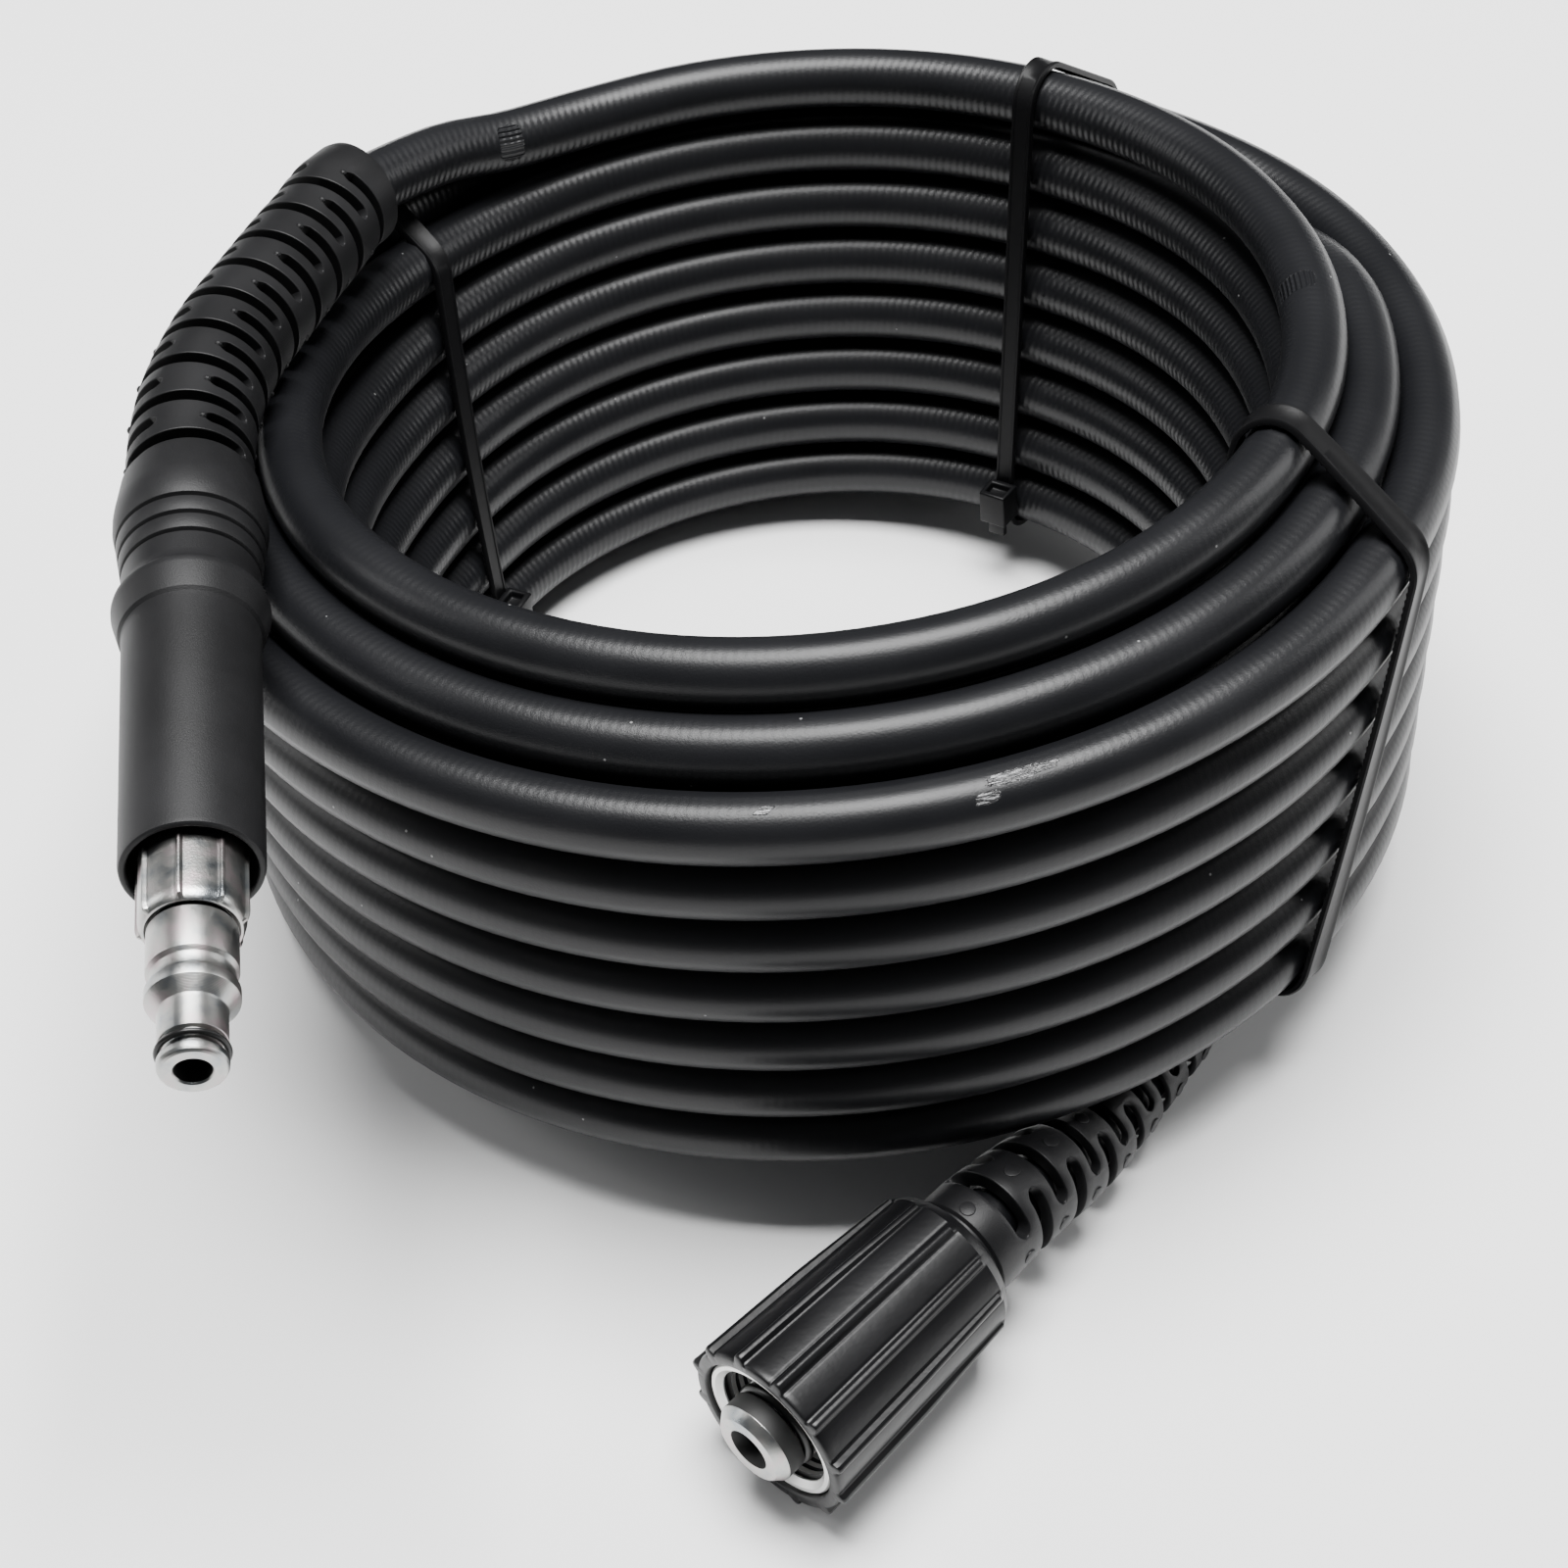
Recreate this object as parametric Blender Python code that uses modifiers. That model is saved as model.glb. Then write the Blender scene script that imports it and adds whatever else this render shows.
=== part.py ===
"""Pressure washer hose: a tied coil with a quick plug at one end and a screw nut at the other."""
import math

import bmesh
import bpy
from mathutils import Matrix, Vector

MM = 0.001
GAP = 0.3 * MM                      # between pieces that touch

# Hose and coil
HOSE_DIAMETER = 11.0 * MM
HOSE_RADIUS = HOSE_DIAMETER / 2
TURNS = 7                           # turns in one layer
TURN_PITCH = HOSE_DIAMETER + 0.785 * MM
LAYER_STEP = 10.2 * MM              # radius from one layer to the next
INNER_LAYER_RADIUS = 86.4 * MM      # top turn of the inner layer, to its centreline
INNER_TAPER = 1.77 * MM             # the bore narrows this much a turn, downwards
OUTER_TAPER = 0.453 * MM
TOP_TURN_RADIUS = INNER_LAYER_RADIUS + 1.2 * MM     # the extra turn on the inner layer
TOP_TURN_LIFT = 13.2 * MM           # above the turn below it
COIL_SEGMENTS = 32

# How the coil lies: its front right rests on the hose and restrictor that run out under it
RAISED_AZIMUTH = math.radians(-50)
COIL_TILT = math.radians(5.0)

# Cable ties
STRAP_WIDTH = 4.8 * MM
STRAP_THICKNESS = 1.3 * MM
STRAP_CLEARANCE = 0.5 * MM
TIE_HEAD = Vector((5.6, 7.4, 8.0)) * MM       # out from the strap, along it, across it
TIE_TAIL = 4.5 * MM
TIE_PAST_MOUTH = 4.0                # degrees from the gun restrictor's mouth to the left tie's top
TIE_SLANT = 0.153                   # degrees that a slanting tie turns for each millimetre of height


def rim_point(radius, azimuth):
    """A point above the coil's centre circle, in plan."""
    return Vector((math.cos(azimuth), math.sin(azimuth), 0)) * radius


# Gun end: sleeve, ferrule and quick plug on one level axis. Its points are given from the
# place on the top turn where the hose leaves the coil, so that they keep with the coil.
GUN_RIM = rim_point(TOP_TURN_RADIUS, math.radians(146))
GUN_TIP = GUN_RIM + Vector((-19.78, -196.49, 104.5)) * MM
GUN_AXIS_END = GUN_RIM + Vector((-29.48, -84.99, 104.5)) * MM
PLUG_LENGTH = 23.7 * MM
FERRULE_SHOWN = 11.0 * MM
FERRULE_HIDDEN = 12.5 * MM
FERRULE_RADIUS = 7.4 * MM
FERRULE_RIB = 0.5 * MM
FERRULE_RIBS = 12
GRIP_LENGTH = 46.0 * MM
GRIP_RADIUS = 10.3 * MM
COLLAR_LENGTH = 36.0 * MM
COLLAR_RADIUS = 11.9 * MM
GUN_RESTRICTOR_LENGTH = 91.5 * MM
GUN_RESTRICTOR_RADIUS = 10.1 * MM
GUN_MOUTH_RADIUS = 9.7 * MM
HOSE_CLEARANCE = 0.8 * MM           # hose in a restrictor's bore

# The gun restrictor's own bend, from the collar to its mouth, and the hose out of it
GUN_BEND = [GUN_RIM + Vector(p) * MM for p in (
    (-30.58, -72.49, 104.5), (-30.18, -58.39, 104.3), (-27.18, -41.89, 103.2), (-22.68, -28.29, 101.9),
    (-18.18, -15.49, 100.8), (-14.48, -6.09, 100.0), (-9.38, 5.31, 99.5))]

# Pump end: swivel nut, threaded insert, nipple and restrictor, read from the nut's mouth. Its
# points are given from the coil's raised side, which lies on it.
PUMP_RIM = rim_point(INNER_LAYER_RADIUS + 2 * LAYER_STEP - OUTER_TAPER * (TURNS - 1), RAISED_AZIMUTH)
NUT_MOUTH = PUMP_RIM + Vector((-87.7, -74.77, 0.0)) * MM
NUT_HEADING = math.radians(43.2)    # from the mouth to the hose, in plan
NUT_LENGTH = 42.5 * MM
NUT_RADIUS = 15.0 * MM              # at the mouth
NUT_BACK_RADIUS = 13.4 * MM
NUT_SHOULDER = 2.2 * MM
NUT_RIB = 1.2 * MM
NUT_RIBS = 12
NUT_RIB_WIDTH = 1.8 * MM
INSERT_RADIUS = 12.5 * MM
INSERT_LENGTH = 20.5 * MM
INSERT_RECESS = 0.6 * MM
THREAD_BORE_RADIUS = 10.2 * MM      # M22 x 1.5, at the thread's crests
INSERT_LIP = 3.0 * MM
NIPPLE_HEAD_RADIUS = 7.2 * MM
NIPPLE_SHAFT_RADIUS = 6.7 * MM
NIPPLE_PROUD = 4.0 * MM             # past the nut's mouth
NIPPLE_BORE_RADIUS = 3.0 * MM
NIPPLE_FLANGE_RADIUS = 9.7 * MM
NIPPLE_FLANGE_AT = 14.0 * MM
NIPPLE_FLANGE = 3.0 * MM
NIPPLE_LENGTH = 26.0 * MM
PUMP_FERRULE_RADIUS = 7.7 * MM
PUMP_FERRULE_LENGTH = 22.0 * MM
PUMP_RESTRICTOR_AT = 32.0 * MM
PUMP_RESTRICTOR_LENGTH = 100.0 * MM
PUMP_RESTRICTOR_RADIUS = 9.5 * MM
PUMP_RESTRICTOR_END_RADIUS = 7.5 * MM
PUMP_BEND = [PUMP_RIM + Vector(p) * MM for p in (
    (-41.5, -31.27, 14.3), (-33.8, -23.47, 11.2), (-26.2, -14.37, 9.2), (-19.6, -5.47, 8.3),
    (-12.6, 3.93, 7.9), (-6.3, 13.13, 7.8), (-0.9, 22.73, 7.6))]
PUMP_LEAD = [PUMP_RIM + Vector(p) * MM for p in (
    (4.6, 34.73, 6.6), (9.3, 49.73, 5.8), (12.1, 67.73, 5.6), (11.9, 83.73, 6.0),
    (9.9, 96.73, 7.6))]

# Slots in both restrictors
SLOT_WIDTH = 2.0 * MM
SLOT_SPAN = math.radians(136)
GUN_SLOT_LEVELS = 18
GUN_SLOT_STEP = 4.78 * MM
PUMP_SLOT_LEVELS = 15
PUMP_SLOT_STEP = 4.75 * MM

COLOURS = {
    "rubber": ((0.018, 0.019, 0.020), 0.5, 0.0),
    "moulding": ((0.022, 0.023, 0.024), 0.6, 0.0),
    "nut": ((0.012, 0.012, 0.013), 0.28, 0.0),
    "zinc": ((0.78, 0.77, 0.76), 0.2, 1.0),
    "nylon": ((0.016, 0.016, 0.017), 0.3, 0.0),
    "seal": ((0.01, 0.01, 0.01), 0.45, 0.0),
}


def clear_scene():
    for old in list(bpy.data.objects):
        bpy.data.objects.remove(old, do_unlink=True)


def collection(name):
    found = bpy.data.collections.new(name)
    bpy.context.scene.collection.children.link(found)
    return found


def material(name):
    colour, roughness, metallic = COLOURS[name]
    made = bpy.data.materials.new(name)
    made.use_nodes = True
    shader = made.node_tree.nodes["Principled BSDF"]
    shader.inputs["Base Color"].default_value = (*colour, 1.0)
    shader.inputs["Roughness"].default_value = roughness
    shader.inputs["Metallic"].default_value = metallic
    return made


def add_object(name, data, group, finish=None, parent=None, place=None):
    made = bpy.data.objects.new(name, data)
    group.objects.link(made)
    if finish:
        data.materials.append(finish)
    if parent:
        made.parent = parent
    if place:
        made.matrix_basis = place
    return made


def mesh_from(name, build):
    """A mesh made by a function that fills a bmesh."""
    work = bmesh.new()
    build(work)
    data = bpy.data.meshes.new(name)
    work.to_mesh(data)
    work.free()
    return data


def profile_mesh(name, outline, closed):
    """An outline of (radius, height) points, as edges in the XZ plane."""
    def build(work):
        points = [work.verts.new((radius, 0.0, height)) for radius, height in outline]
        for first, second in zip(points, points[1:]):
            work.edges.new((first, second))
        if closed:
            work.edges.new((points[-1], points[0]))
    return mesh_from(name, build)


def turned(name, outline, group, finish, segments=32, closed=False, parent=None, place=None):
    """A turned piece about its Z axis; an open outline starts and ends on the axis."""
    made = add_object(name, profile_mesh(name, outline, closed), group, finish, parent, place)
    screw = made.modifiers.new("turn", "SCREW")
    screw.steps = segments
    screw.render_steps = segments
    screw.use_merge_vertices = True
    screw.merge_threshold = 0.00001
    screw.use_smooth_shade = True
    return made


def cut(target, tool, operation="DIFFERENCE"):
    change = target.modifiers.new(tool.name, "BOOLEAN")
    change.operation = operation
    change.object = tool
    change.solver = "EXACT"
    return change


def hide_tool(tool):
    tool.hide_render = True
    tool.display_type = "WIRE"


def evaluated_mesh(made):
    return bpy.data.meshes.new_from_object(made.evaluated_get(bpy.context.evaluated_depsgraph_get()))


def axis_frame(origin, direction):
    """A frame at the origin whose Z axis runs along the direction and whose X axis is level."""
    along = direction.normalized()
    side = along.cross(Vector((0, 0, 1))).normalized()
    up = along.cross(side)
    turn = Matrix((side, up, along)).transposed().to_4x4()
    return Matrix.Translation(origin) @ turn


# How the coil lies on the floor

def layer_centres(top_radius, taper):
    """The centreline radius and height of each turn in a layer, from the floor up."""
    return [(top_radius - taper * (TURNS - 1 - k), HOSE_RADIUS + TURN_PITCH * k)
            for k in range(TURNS)]


INNER_LAYER = layer_centres(INNER_LAYER_RADIUS, INNER_TAPER)
OUTER_LAYER = layer_centres(INNER_LAYER_RADIUS + 2 * LAYER_STEP, OUTER_TAPER)
MIDDLE_TOP = (INNER_LAYER_RADIUS + LAYER_STEP, INNER_LAYER[-1][1] + TURN_PITCH / 2)
MIDDLE_BOTTOM = ((INNER_LAYER[0][0] + OUTER_LAYER[0][0]) / 2, HOSE_RADIUS + TURN_PITCH / 2)
TOP_TURN_HEIGHT = INNER_LAYER[-1][1] + TOP_TURN_LIFT

raised = Vector((math.cos(RAISED_AZIMUTH), math.sin(RAISED_AZIMUTH), 0))
TILT_AXIS = raised.cross(Vector((0, 0, 1)))
HEEL = -raised * OUTER_LAYER[0][0]           # the low side, on a strap's thickness
STRAP_SEAT = STRAP_THICKNESS + GAP
COIL_PLACE = (Matrix.Translation(HEEL + Vector((0, 0, STRAP_SEAT)))
              @ Matrix.Rotation(COIL_TILT, 4, TILT_AXIS)
              @ Matrix.Translation(-HEEL))


def on_coil(radius, azimuth, height):
    angle = math.radians(azimuth)
    return COIL_PLACE @ Vector((radius * math.cos(angle), radius * math.sin(angle), height))


# Routes

def smooth_route(points, spacing):
    """Points at an even spacing along a smooth curve through the route's own points."""
    ends = [2 * points[0] - points[1]] + list(points) + [2 * points[-1] - points[-2]]
    fine = []
    for before, start, finish, after in zip(ends, ends[1:], ends[2:], ends[3:]):
        for i in range(24):
            t = i / 24
            fine.append(0.5 * (2 * start + (finish - before) * t
                               + (2 * before - 5 * start + 4 * finish - after) * t ** 2
                               + (3 * start - before - 3 * finish + after) * t ** 3))
    fine.append(points[-1].copy())
    length = sum((b - a).length for a, b in zip(fine, fine[1:]))
    step = length / max(1, round(length / spacing))
    route = [fine[0]]
    walked = 0.0
    for a, b in zip(fine, fine[1:]):
        run = (b - a).length
        while walked + run >= step * len(route) - 1e-9 and run > 0:
            route.append(a.lerp(b, (step * len(route) - walked) / run))
        walked += run
    route[-1] = fine[-1]
    return route


def poly_curve(name, route, depth=0.0, resolution=2):
    data = bpy.data.curves.new(name, "CURVE")
    data.dimensions = "3D"
    line = data.splines.new("POLY")
    line.points.add(len(route) - 1)
    for point, place in zip(line.points, route):
        point.co = (*place, 1.0)
    data.twist_mode = "Z_UP"
    data.bevel_depth = depth
    data.bevel_resolution = resolution
    data.use_fill_caps = depth > 0
    return data


def split_route(points, start, length, spacing):
    """The stretch of a smooth route that starts at a distance and has a length."""
    fine = smooth_route(points, 0.5 * MM)
    first = math.ceil(start / (0.5 * MM))
    last = round((start + length) / (0.5 * MM))
    count = max(2, round((last - first) / (spacing / (0.5 * MM))))
    picks = [first + round((last - first) * i / count) for i in range(count + 1)]
    return [fine[min(i, len(fine) - 1)] for i in picks]


# Restrictors

def ring_sector(work, inner, outer, low, high, middle, span, steps=4):
    """A closed block between two radii, two heights and two angles."""
    rim = []
    for radius, order in ((outer, range(steps + 1)), (inner, range(steps, -1, -1))):
        for i in order:
            angle = middle - span / 2 + span * i / steps
            rim.append(work.verts.new((radius * math.cos(angle), radius * math.sin(angle), low)))
    base = work.faces.new(rim)
    lifted = bmesh.ops.extrude_face_region(work, geom=[base])
    corners = [v for v in lifted["geom"] if isinstance(v, bmesh.types.BMVert)]
    bmesh.ops.translate(work, verts=corners, vec=(0, 0, high - low))


def slot_tool(name, tools, first, levels, step, bore, reach):
    """Pairs of facing slots, each pair turned a quarter from the one before it."""
    def build(work):
        for level in range(levels):
            low = first + level * step
            for side in (0, 1):
                middle = math.pi * side + math.pi / 2 * ((level + 1) % 2)
                ring_sector(work, bore * 0.9, reach, low, low + SLOT_WIDTH, middle, SLOT_SPAN)
        bmesh.ops.recalc_face_normals(work, faces=work.faces)
    tool = add_object(name, mesh_from(name, build), tools)
    hide_tool(tool)
    return tool


def bend_along(made, spine):
    hide_tool(spine)
    bend = made.modifiers.new("bend", "CURVE")
    bend.object = spine
    bend.deform_axis = "POS_Z"


def gun_route():
    """From the sleeve's open front, through collar and restrictor, to where the hose leaves."""
    along = (GUN_AXIS_END - GUN_TIP).normalized()
    front = GUN_TIP + along * (PLUG_LENGTH + GAP + FERRULE_SHOWN)
    straight = [front + along * (GRIP_LENGTH * share) for share in (0, 0.35, 0.7, 1.05)]
    lead = [on_coil(TOP_TURN_RADIUS + out, azimuth, TOP_TURN_HEIGHT + up)
            for azimuth, out, up in ((134, 1.5 * MM, 4.5 * MM), (124, 0.3 * MM, 1.3 * MM))]
    turn = [on_coil(TOP_TURN_RADIUS, azimuth, TOP_TURN_HEIGHT) for azimuth in range(112, -141, -12)]
    return straight + [GUN_AXIS_END] + GUN_BEND + lead + turn


def gun_sleeve_outline():
    """Outer side first, from the mouth of the restrictor down to the open front."""
    total = GRIP_LENGTH + COLLAR_LENGTH + GUN_RESTRICTOR_LENGTH
    collar = GRIP_LENGTH + COLLAR_LENGTH
    band = total - 9 * MM
    bore = HOSE_RADIUS + HOSE_CLEARANCE
    socket = FERRULE_RADIUS + FERRULE_RIB + GAP
    outer = [
        (GUN_MOUTH_RADIUS - 1.2 * MM, total),
        (GUN_MOUTH_RADIUS, total - 1.6 * MM),
        (GUN_MOUTH_RADIUS, band),
        (GUN_RESTRICTOR_RADIUS, collar + 12 * MM),
        (GUN_RESTRICTOR_RADIUS, collar),
        (COLLAR_RADIUS, collar - 5 * MM),
        (COLLAR_RADIUS, collar - 10 * MM),
        (COLLAR_RADIUS - 1.4 * MM, collar - 16 * MM),
        (COLLAR_RADIUS - 1.4 * MM, collar - 21 * MM),
        (COLLAR_RADIUS, collar - 26 * MM),
        (COLLAR_RADIUS, collar - 31 * MM),
        (GRIP_RADIUS, GRIP_LENGTH),
        (GRIP_RADIUS, 0.8 * MM),
        (GRIP_RADIUS - 0.8 * MM, 0),
    ]
    inner = [
        (socket, 0),
        (socket, FERRULE_HIDDEN + 2 * GAP),
        (bore, FERRULE_HIDDEN + 2 * GAP),
        (bore, GRIP_LENGTH),
        (bore, GRIP_LENGTH + COLLAR_LENGTH / 2),
        (bore, collar),
        (bore, band),
        (bore, total - 3 * MM),
        (bore + 0.5 * MM, total),
    ]
    return outer + inner


def gun_end(group, tools, finishes):
    route = gun_route()
    along = (GUN_AXIS_END - GUN_TIP).normalized()
    front = GUN_TIP + along * (PLUG_LENGTH + GAP + FERRULE_SHOWN)
    total = GRIP_LENGTH + COLLAR_LENGTH + GUN_RESTRICTOR_LENGTH

    sleeve = turned("gun_end_sleeve", gun_sleeve_outline(), group, finishes["moulding"],
                    segments=20, closed=True)
    first_slot = GRIP_LENGTH + COLLAR_LENGTH + 0.6 * MM
    slots = slot_tool("gun_slots", tools, first_slot, GUN_SLOT_LEVELS, GUN_SLOT_STEP,
                      HOSE_RADIUS + HOSE_CLEARANCE, GRIP_RADIUS + 2 * MM)
    cut(sleeve, slots)
    spine = add_object("gun_spine", poly_curve("gun_spine", split_route(route, 0, total + 4 * MM, 3 * MM)),
                       tools)
    bend_along(sleeve, spine)

    # the crimped ferrule, with its ridges, half inside the sleeve
    place = axis_frame(front - along * FERRULE_SHOWN, along)
    length = FERRULE_SHOWN + FERRULE_HIDDEN
    ferrule = turned("gun_ferrule", [
        (0, length), (FERRULE_RADIUS, length), (FERRULE_RADIUS, 1.2 * MM),
        (FERRULE_RADIUS - 0.9 * MM, 0), (0, 0)], group, finishes["zinc"], 36, place=place)

    def ridges(work):
        for i in range(FERRULE_RIBS):
            bar = bmesh.ops.create_cube(work, size=1.0)
            reach = FERRULE_RADIUS + FERRULE_RIB
            size = Matrix.Diagonal((1.6 * MM, 0.9 * MM, FERRULE_SHOWN - 2 * MM, 1))
            shift = Matrix.Translation((reach - 0.85 * MM, 0, FERRULE_SHOWN / 2 + 1.5 * MM))
            turn = Matrix.Rotation(2 * math.pi * i / FERRULE_RIBS, 4, "Z")
            bmesh.ops.transform(work, matrix=turn @ shift @ size, verts=bar["verts"])
    bars = add_object("ferrule_ridges", mesh_from("ferrule_ridges", ridges), tools, place=place)
    hide_tool(bars)
    cut(ferrule, bars, "UNION")

    # the quick plug: barrel, catch groove, shoulder, neck, seal groove and nose
    place = axis_frame(GUN_TIP, along)
    turned("quick_plug", [
        (6.2 * MM, PLUG_LENGTH), (6.25 * MM, PLUG_LENGTH - 0.4 * MM), (6.25 * MM, 16.4 * MM),
        (5.6 * MM, 16.2 * MM), (5.6 * MM, 13.6 * MM), (6.4 * MM, 13.3 * MM), (6.4 * MM, 11.6 * MM),
        (4.7 * MM, 9.6 * MM), (4.7 * MM, 4.4 * MM), (3.9 * MM, 4.2 * MM), (3.9 * MM, 1.9 * MM),
        (4.8 * MM, 1.7 * MM), (4.8 * MM, 0.5 * MM), (4.4 * MM, 0),
        (2.5 * MM, 0), (2.5 * MM, PLUG_LENGTH)],
        group, finishes["zinc"], 32, closed=True, place=place)
    seal_ring("plug_o_ring", 5.1 * MM, 4.2 * MM, 3.05 * MM, group, finishes["seal"], place)


def seal_ring(name, outer, inner, height, group, finish, place):
    """A torus between two radii, about the place's Z axis."""
    section = (outer - inner) / 2
    middle = (outer + inner) / 2
    points = [(middle + section * math.cos(a), height + section * math.sin(a))
              for a in (-2 * math.pi * i / 8 for i in range(8))]
    return turned(name, points, group, finish, 24, closed=True, place=place)


# Pump end

def pump_axis():
    return Vector((math.cos(NUT_HEADING), math.sin(NUT_HEADING), 0))


def pump_origin():
    """The centre of the nut's mouth; the rib tips lie on the floor."""
    return NUT_MOUTH + Vector((0, 0, NUT_RADIUS + NUT_RIB))


def pump_route():
    """From the front of the restrictor, inside the nut, to where the hose meets the coil."""
    origin = pump_origin()
    along = pump_axis()
    straight = [origin + along * (PUMP_RESTRICTOR_AT + share * PUMP_FERRULE_LENGTH)
                for share in (0, 0.35, 0.7, 0.95)]
    return straight + PUMP_BEND + PUMP_LEAD


def pump_restrictor_outline():
    total = PUMP_RESTRICTOR_LENGTH
    bore = HOSE_RADIUS + HOSE_CLEARANCE
    socket = PUMP_FERRULE_RADIUS + GAP
    socket_end = NIPPLE_LENGTH + GAP + PUMP_FERRULE_LENGTH + GAP - PUMP_RESTRICTOR_AT
    return [
        (PUMP_RESTRICTOR_END_RADIUS - 0.6 * MM, total),
        (PUMP_RESTRICTOR_END_RADIUS, total - 1 * MM),
        (PUMP_RESTRICTOR_END_RADIUS, total * 0.55),
        (PUMP_RESTRICTOR_RADIUS - 0.4 * MM, 24 * MM),
        (PUMP_RESTRICTOR_RADIUS, 16 * MM),
        (PUMP_RESTRICTOR_RADIUS, 0),
        (socket, 0),
        (socket, socket_end),
        (bore, socket_end),
        (bore, total * 0.55),
        (bore, total),
    ]


def pump_end(group, tools, finishes):
    along = pump_axis()
    place = axis_frame(pump_origin(), along)

    restrictor = turned("pump_restrictor", pump_restrictor_outline(), group, finishes["moulding"],
                        segments=20, closed=True)
    slots = slot_tool("pump_slots", tools, 18.4 * MM, PUMP_SLOT_LEVELS, PUMP_SLOT_STEP,
                      HOSE_RADIUS + HOSE_CLEARANCE, PUMP_RESTRICTOR_RADIUS + 2 * MM)
    cut(restrictor, slots)
    spine = add_object("pump_spine", poly_curve("pump_spine", split_route(
        pump_route(), 0, PUMP_RESTRICTOR_LENGTH + 4 * MM, 3 * MM)), tools)
    bend_along(restrictor, spine)

    # swivel nut: a ribbed grip with the threaded insert pressed into its front
    grip_bore = INSERT_RADIUS + GAP
    back_bore = PUMP_RESTRICTOR_RADIUS + 0.7 * MM
    shelf = INSERT_RECESS + INSERT_LENGTH + GAP
    rib_end = NUT_LENGTH - NUT_SHOULDER
    grip = turned("nut_grip", [
        (NUT_BACK_RADIUS - 1.4 * MM, NUT_LENGTH), (NUT_BACK_RADIUS, rib_end),
        (NUT_RADIUS, 0.4 * MM), (NUT_RADIUS - 0.4 * MM, 0),
        (grip_bore, 0), (grip_bore, shelf), (back_bore, shelf), (back_bore, NUT_LENGTH)],
        group, finishes["nut"], 36, closed=True, place=place)

    def ribs(work):
        for i in range(NUT_RIBS):
            bar = bmesh.ops.create_cube(work, size=1.0)
            deep = NUT_RIB + 1.0 * MM
            size = Matrix.Diagonal((deep, NUT_RIB_WIDTH, rib_end, 1))
            middle_radius = (NUT_RADIUS + NUT_BACK_RADIUS) / 2 + NUT_RIB - deep / 2
            shift = Matrix.Translation((middle_radius, 0, rib_end / 2))
            taper = Matrix.Rotation(-math.atan2(NUT_RADIUS - NUT_BACK_RADIUS, rib_end), 4, "Y")
            turn = Matrix.Rotation(2 * math.pi * (i + 0.25) / NUT_RIBS, 4, "Z")
            bmesh.ops.transform(work, matrix=turn @ shift @ taper @ size, verts=bar["verts"])
    bars = add_object("nut_ribs", mesh_from("nut_ribs", ribs), tools, place=place)
    hide_tool(bars)
    cut(grip, bars, "UNION")

    back = INSERT_RECESS + INSERT_LENGTH
    lip_bore = NIPPLE_HEAD_RADIUS + GAP
    turned("nut_insert", [
        (INSERT_RADIUS, back), (INSERT_RADIUS, INSERT_RECESS), (THREAD_BORE_RADIUS + 0.8 * MM, INSERT_RECESS),
        (THREAD_BORE_RADIUS, INSERT_RECESS + 0.8 * MM), (THREAD_BORE_RADIUS, back - INSERT_LIP),
        (lip_bore, back - INSERT_LIP), (lip_bore, back)],
        group, finishes["zinc"], 32, closed=True, place=place)

    # the nipple: chamfered head, seal groove, flange that the insert's lip pulls on, shaft
    flange_end = NIPPLE_FLANGE_AT + NIPPLE_FLANGE
    head = NIPPLE_HEAD_RADIUS
    turned("pump_nipple", [
        (NIPPLE_SHAFT_RADIUS, NIPPLE_LENGTH), (NIPPLE_SHAFT_RADIUS, flange_end),
        (NIPPLE_FLANGE_RADIUS, flange_end), (NIPPLE_FLANGE_RADIUS, NIPPLE_FLANGE_AT),
        (head, NIPPLE_FLANGE_AT), (head, 3.6 * MM), (head - 2.0 * MM, 3.5 * MM),
        (head - 2.0 * MM, 0.9 * MM), (head, 0.8 * MM), (head, 1.6 * MM - NIPPLE_PROUD),
        (head - 1.3 * MM, -NIPPLE_PROUD), (NIPPLE_BORE_RADIUS + 0.7 * MM, -NIPPLE_PROUD),
        (NIPPLE_BORE_RADIUS, 2 * MM - NIPPLE_PROUD), (NIPPLE_BORE_RADIUS, NIPPLE_LENGTH)],
        group, finishes["zinc"], 32, closed=True, place=place)
    seal_ring("nipple_o_ring", head + 0.3 * MM, head - 1.6 * MM, 2.2 * MM, group, finishes["seal"], place)

    ferrule_place = axis_frame(pump_origin() + along * (NIPPLE_LENGTH + GAP), along)
    turned("pump_ferrule", [
        (0, PUMP_FERRULE_LENGTH), (PUMP_FERRULE_RADIUS, PUMP_FERRULE_LENGTH),
        (PUMP_FERRULE_RADIUS, 0), (0, 0)], group, finishes["zinc"], 32, place=ferrule_place)


# The coil

def coil_outline():
    """The section of the wound layers: an arc for each outer turn, with a groove between turns."""
    ring = (list(reversed(OUTER_LAYER)) + [MIDDLE_BOTTOM] + list(INNER_LAYER) + [MIDDLE_TOP])
    groove = math.radians(30)
    outline = []
    for i, centre in enumerate(ring):
        before = ring[i - 1]
        after = ring[(i + 1) % len(ring)]
        start = math.atan2(before[1] - centre[1], before[0] - centre[0]) - groove
        end = math.atan2(after[1] - centre[1], after[0] - centre[0]) + groove
        while end > start:
            end -= 2 * math.pi
        steps = max(1, math.ceil((start - end) / math.radians(45)))
        for j in range(steps + 1):
            angle = start + (end - start) * j / steps
            outline.append((centre[0] + HOSE_RADIUS * math.cos(angle),
                            centre[1] + HOSE_RADIUS * math.sin(angle)))
    return outline


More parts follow.
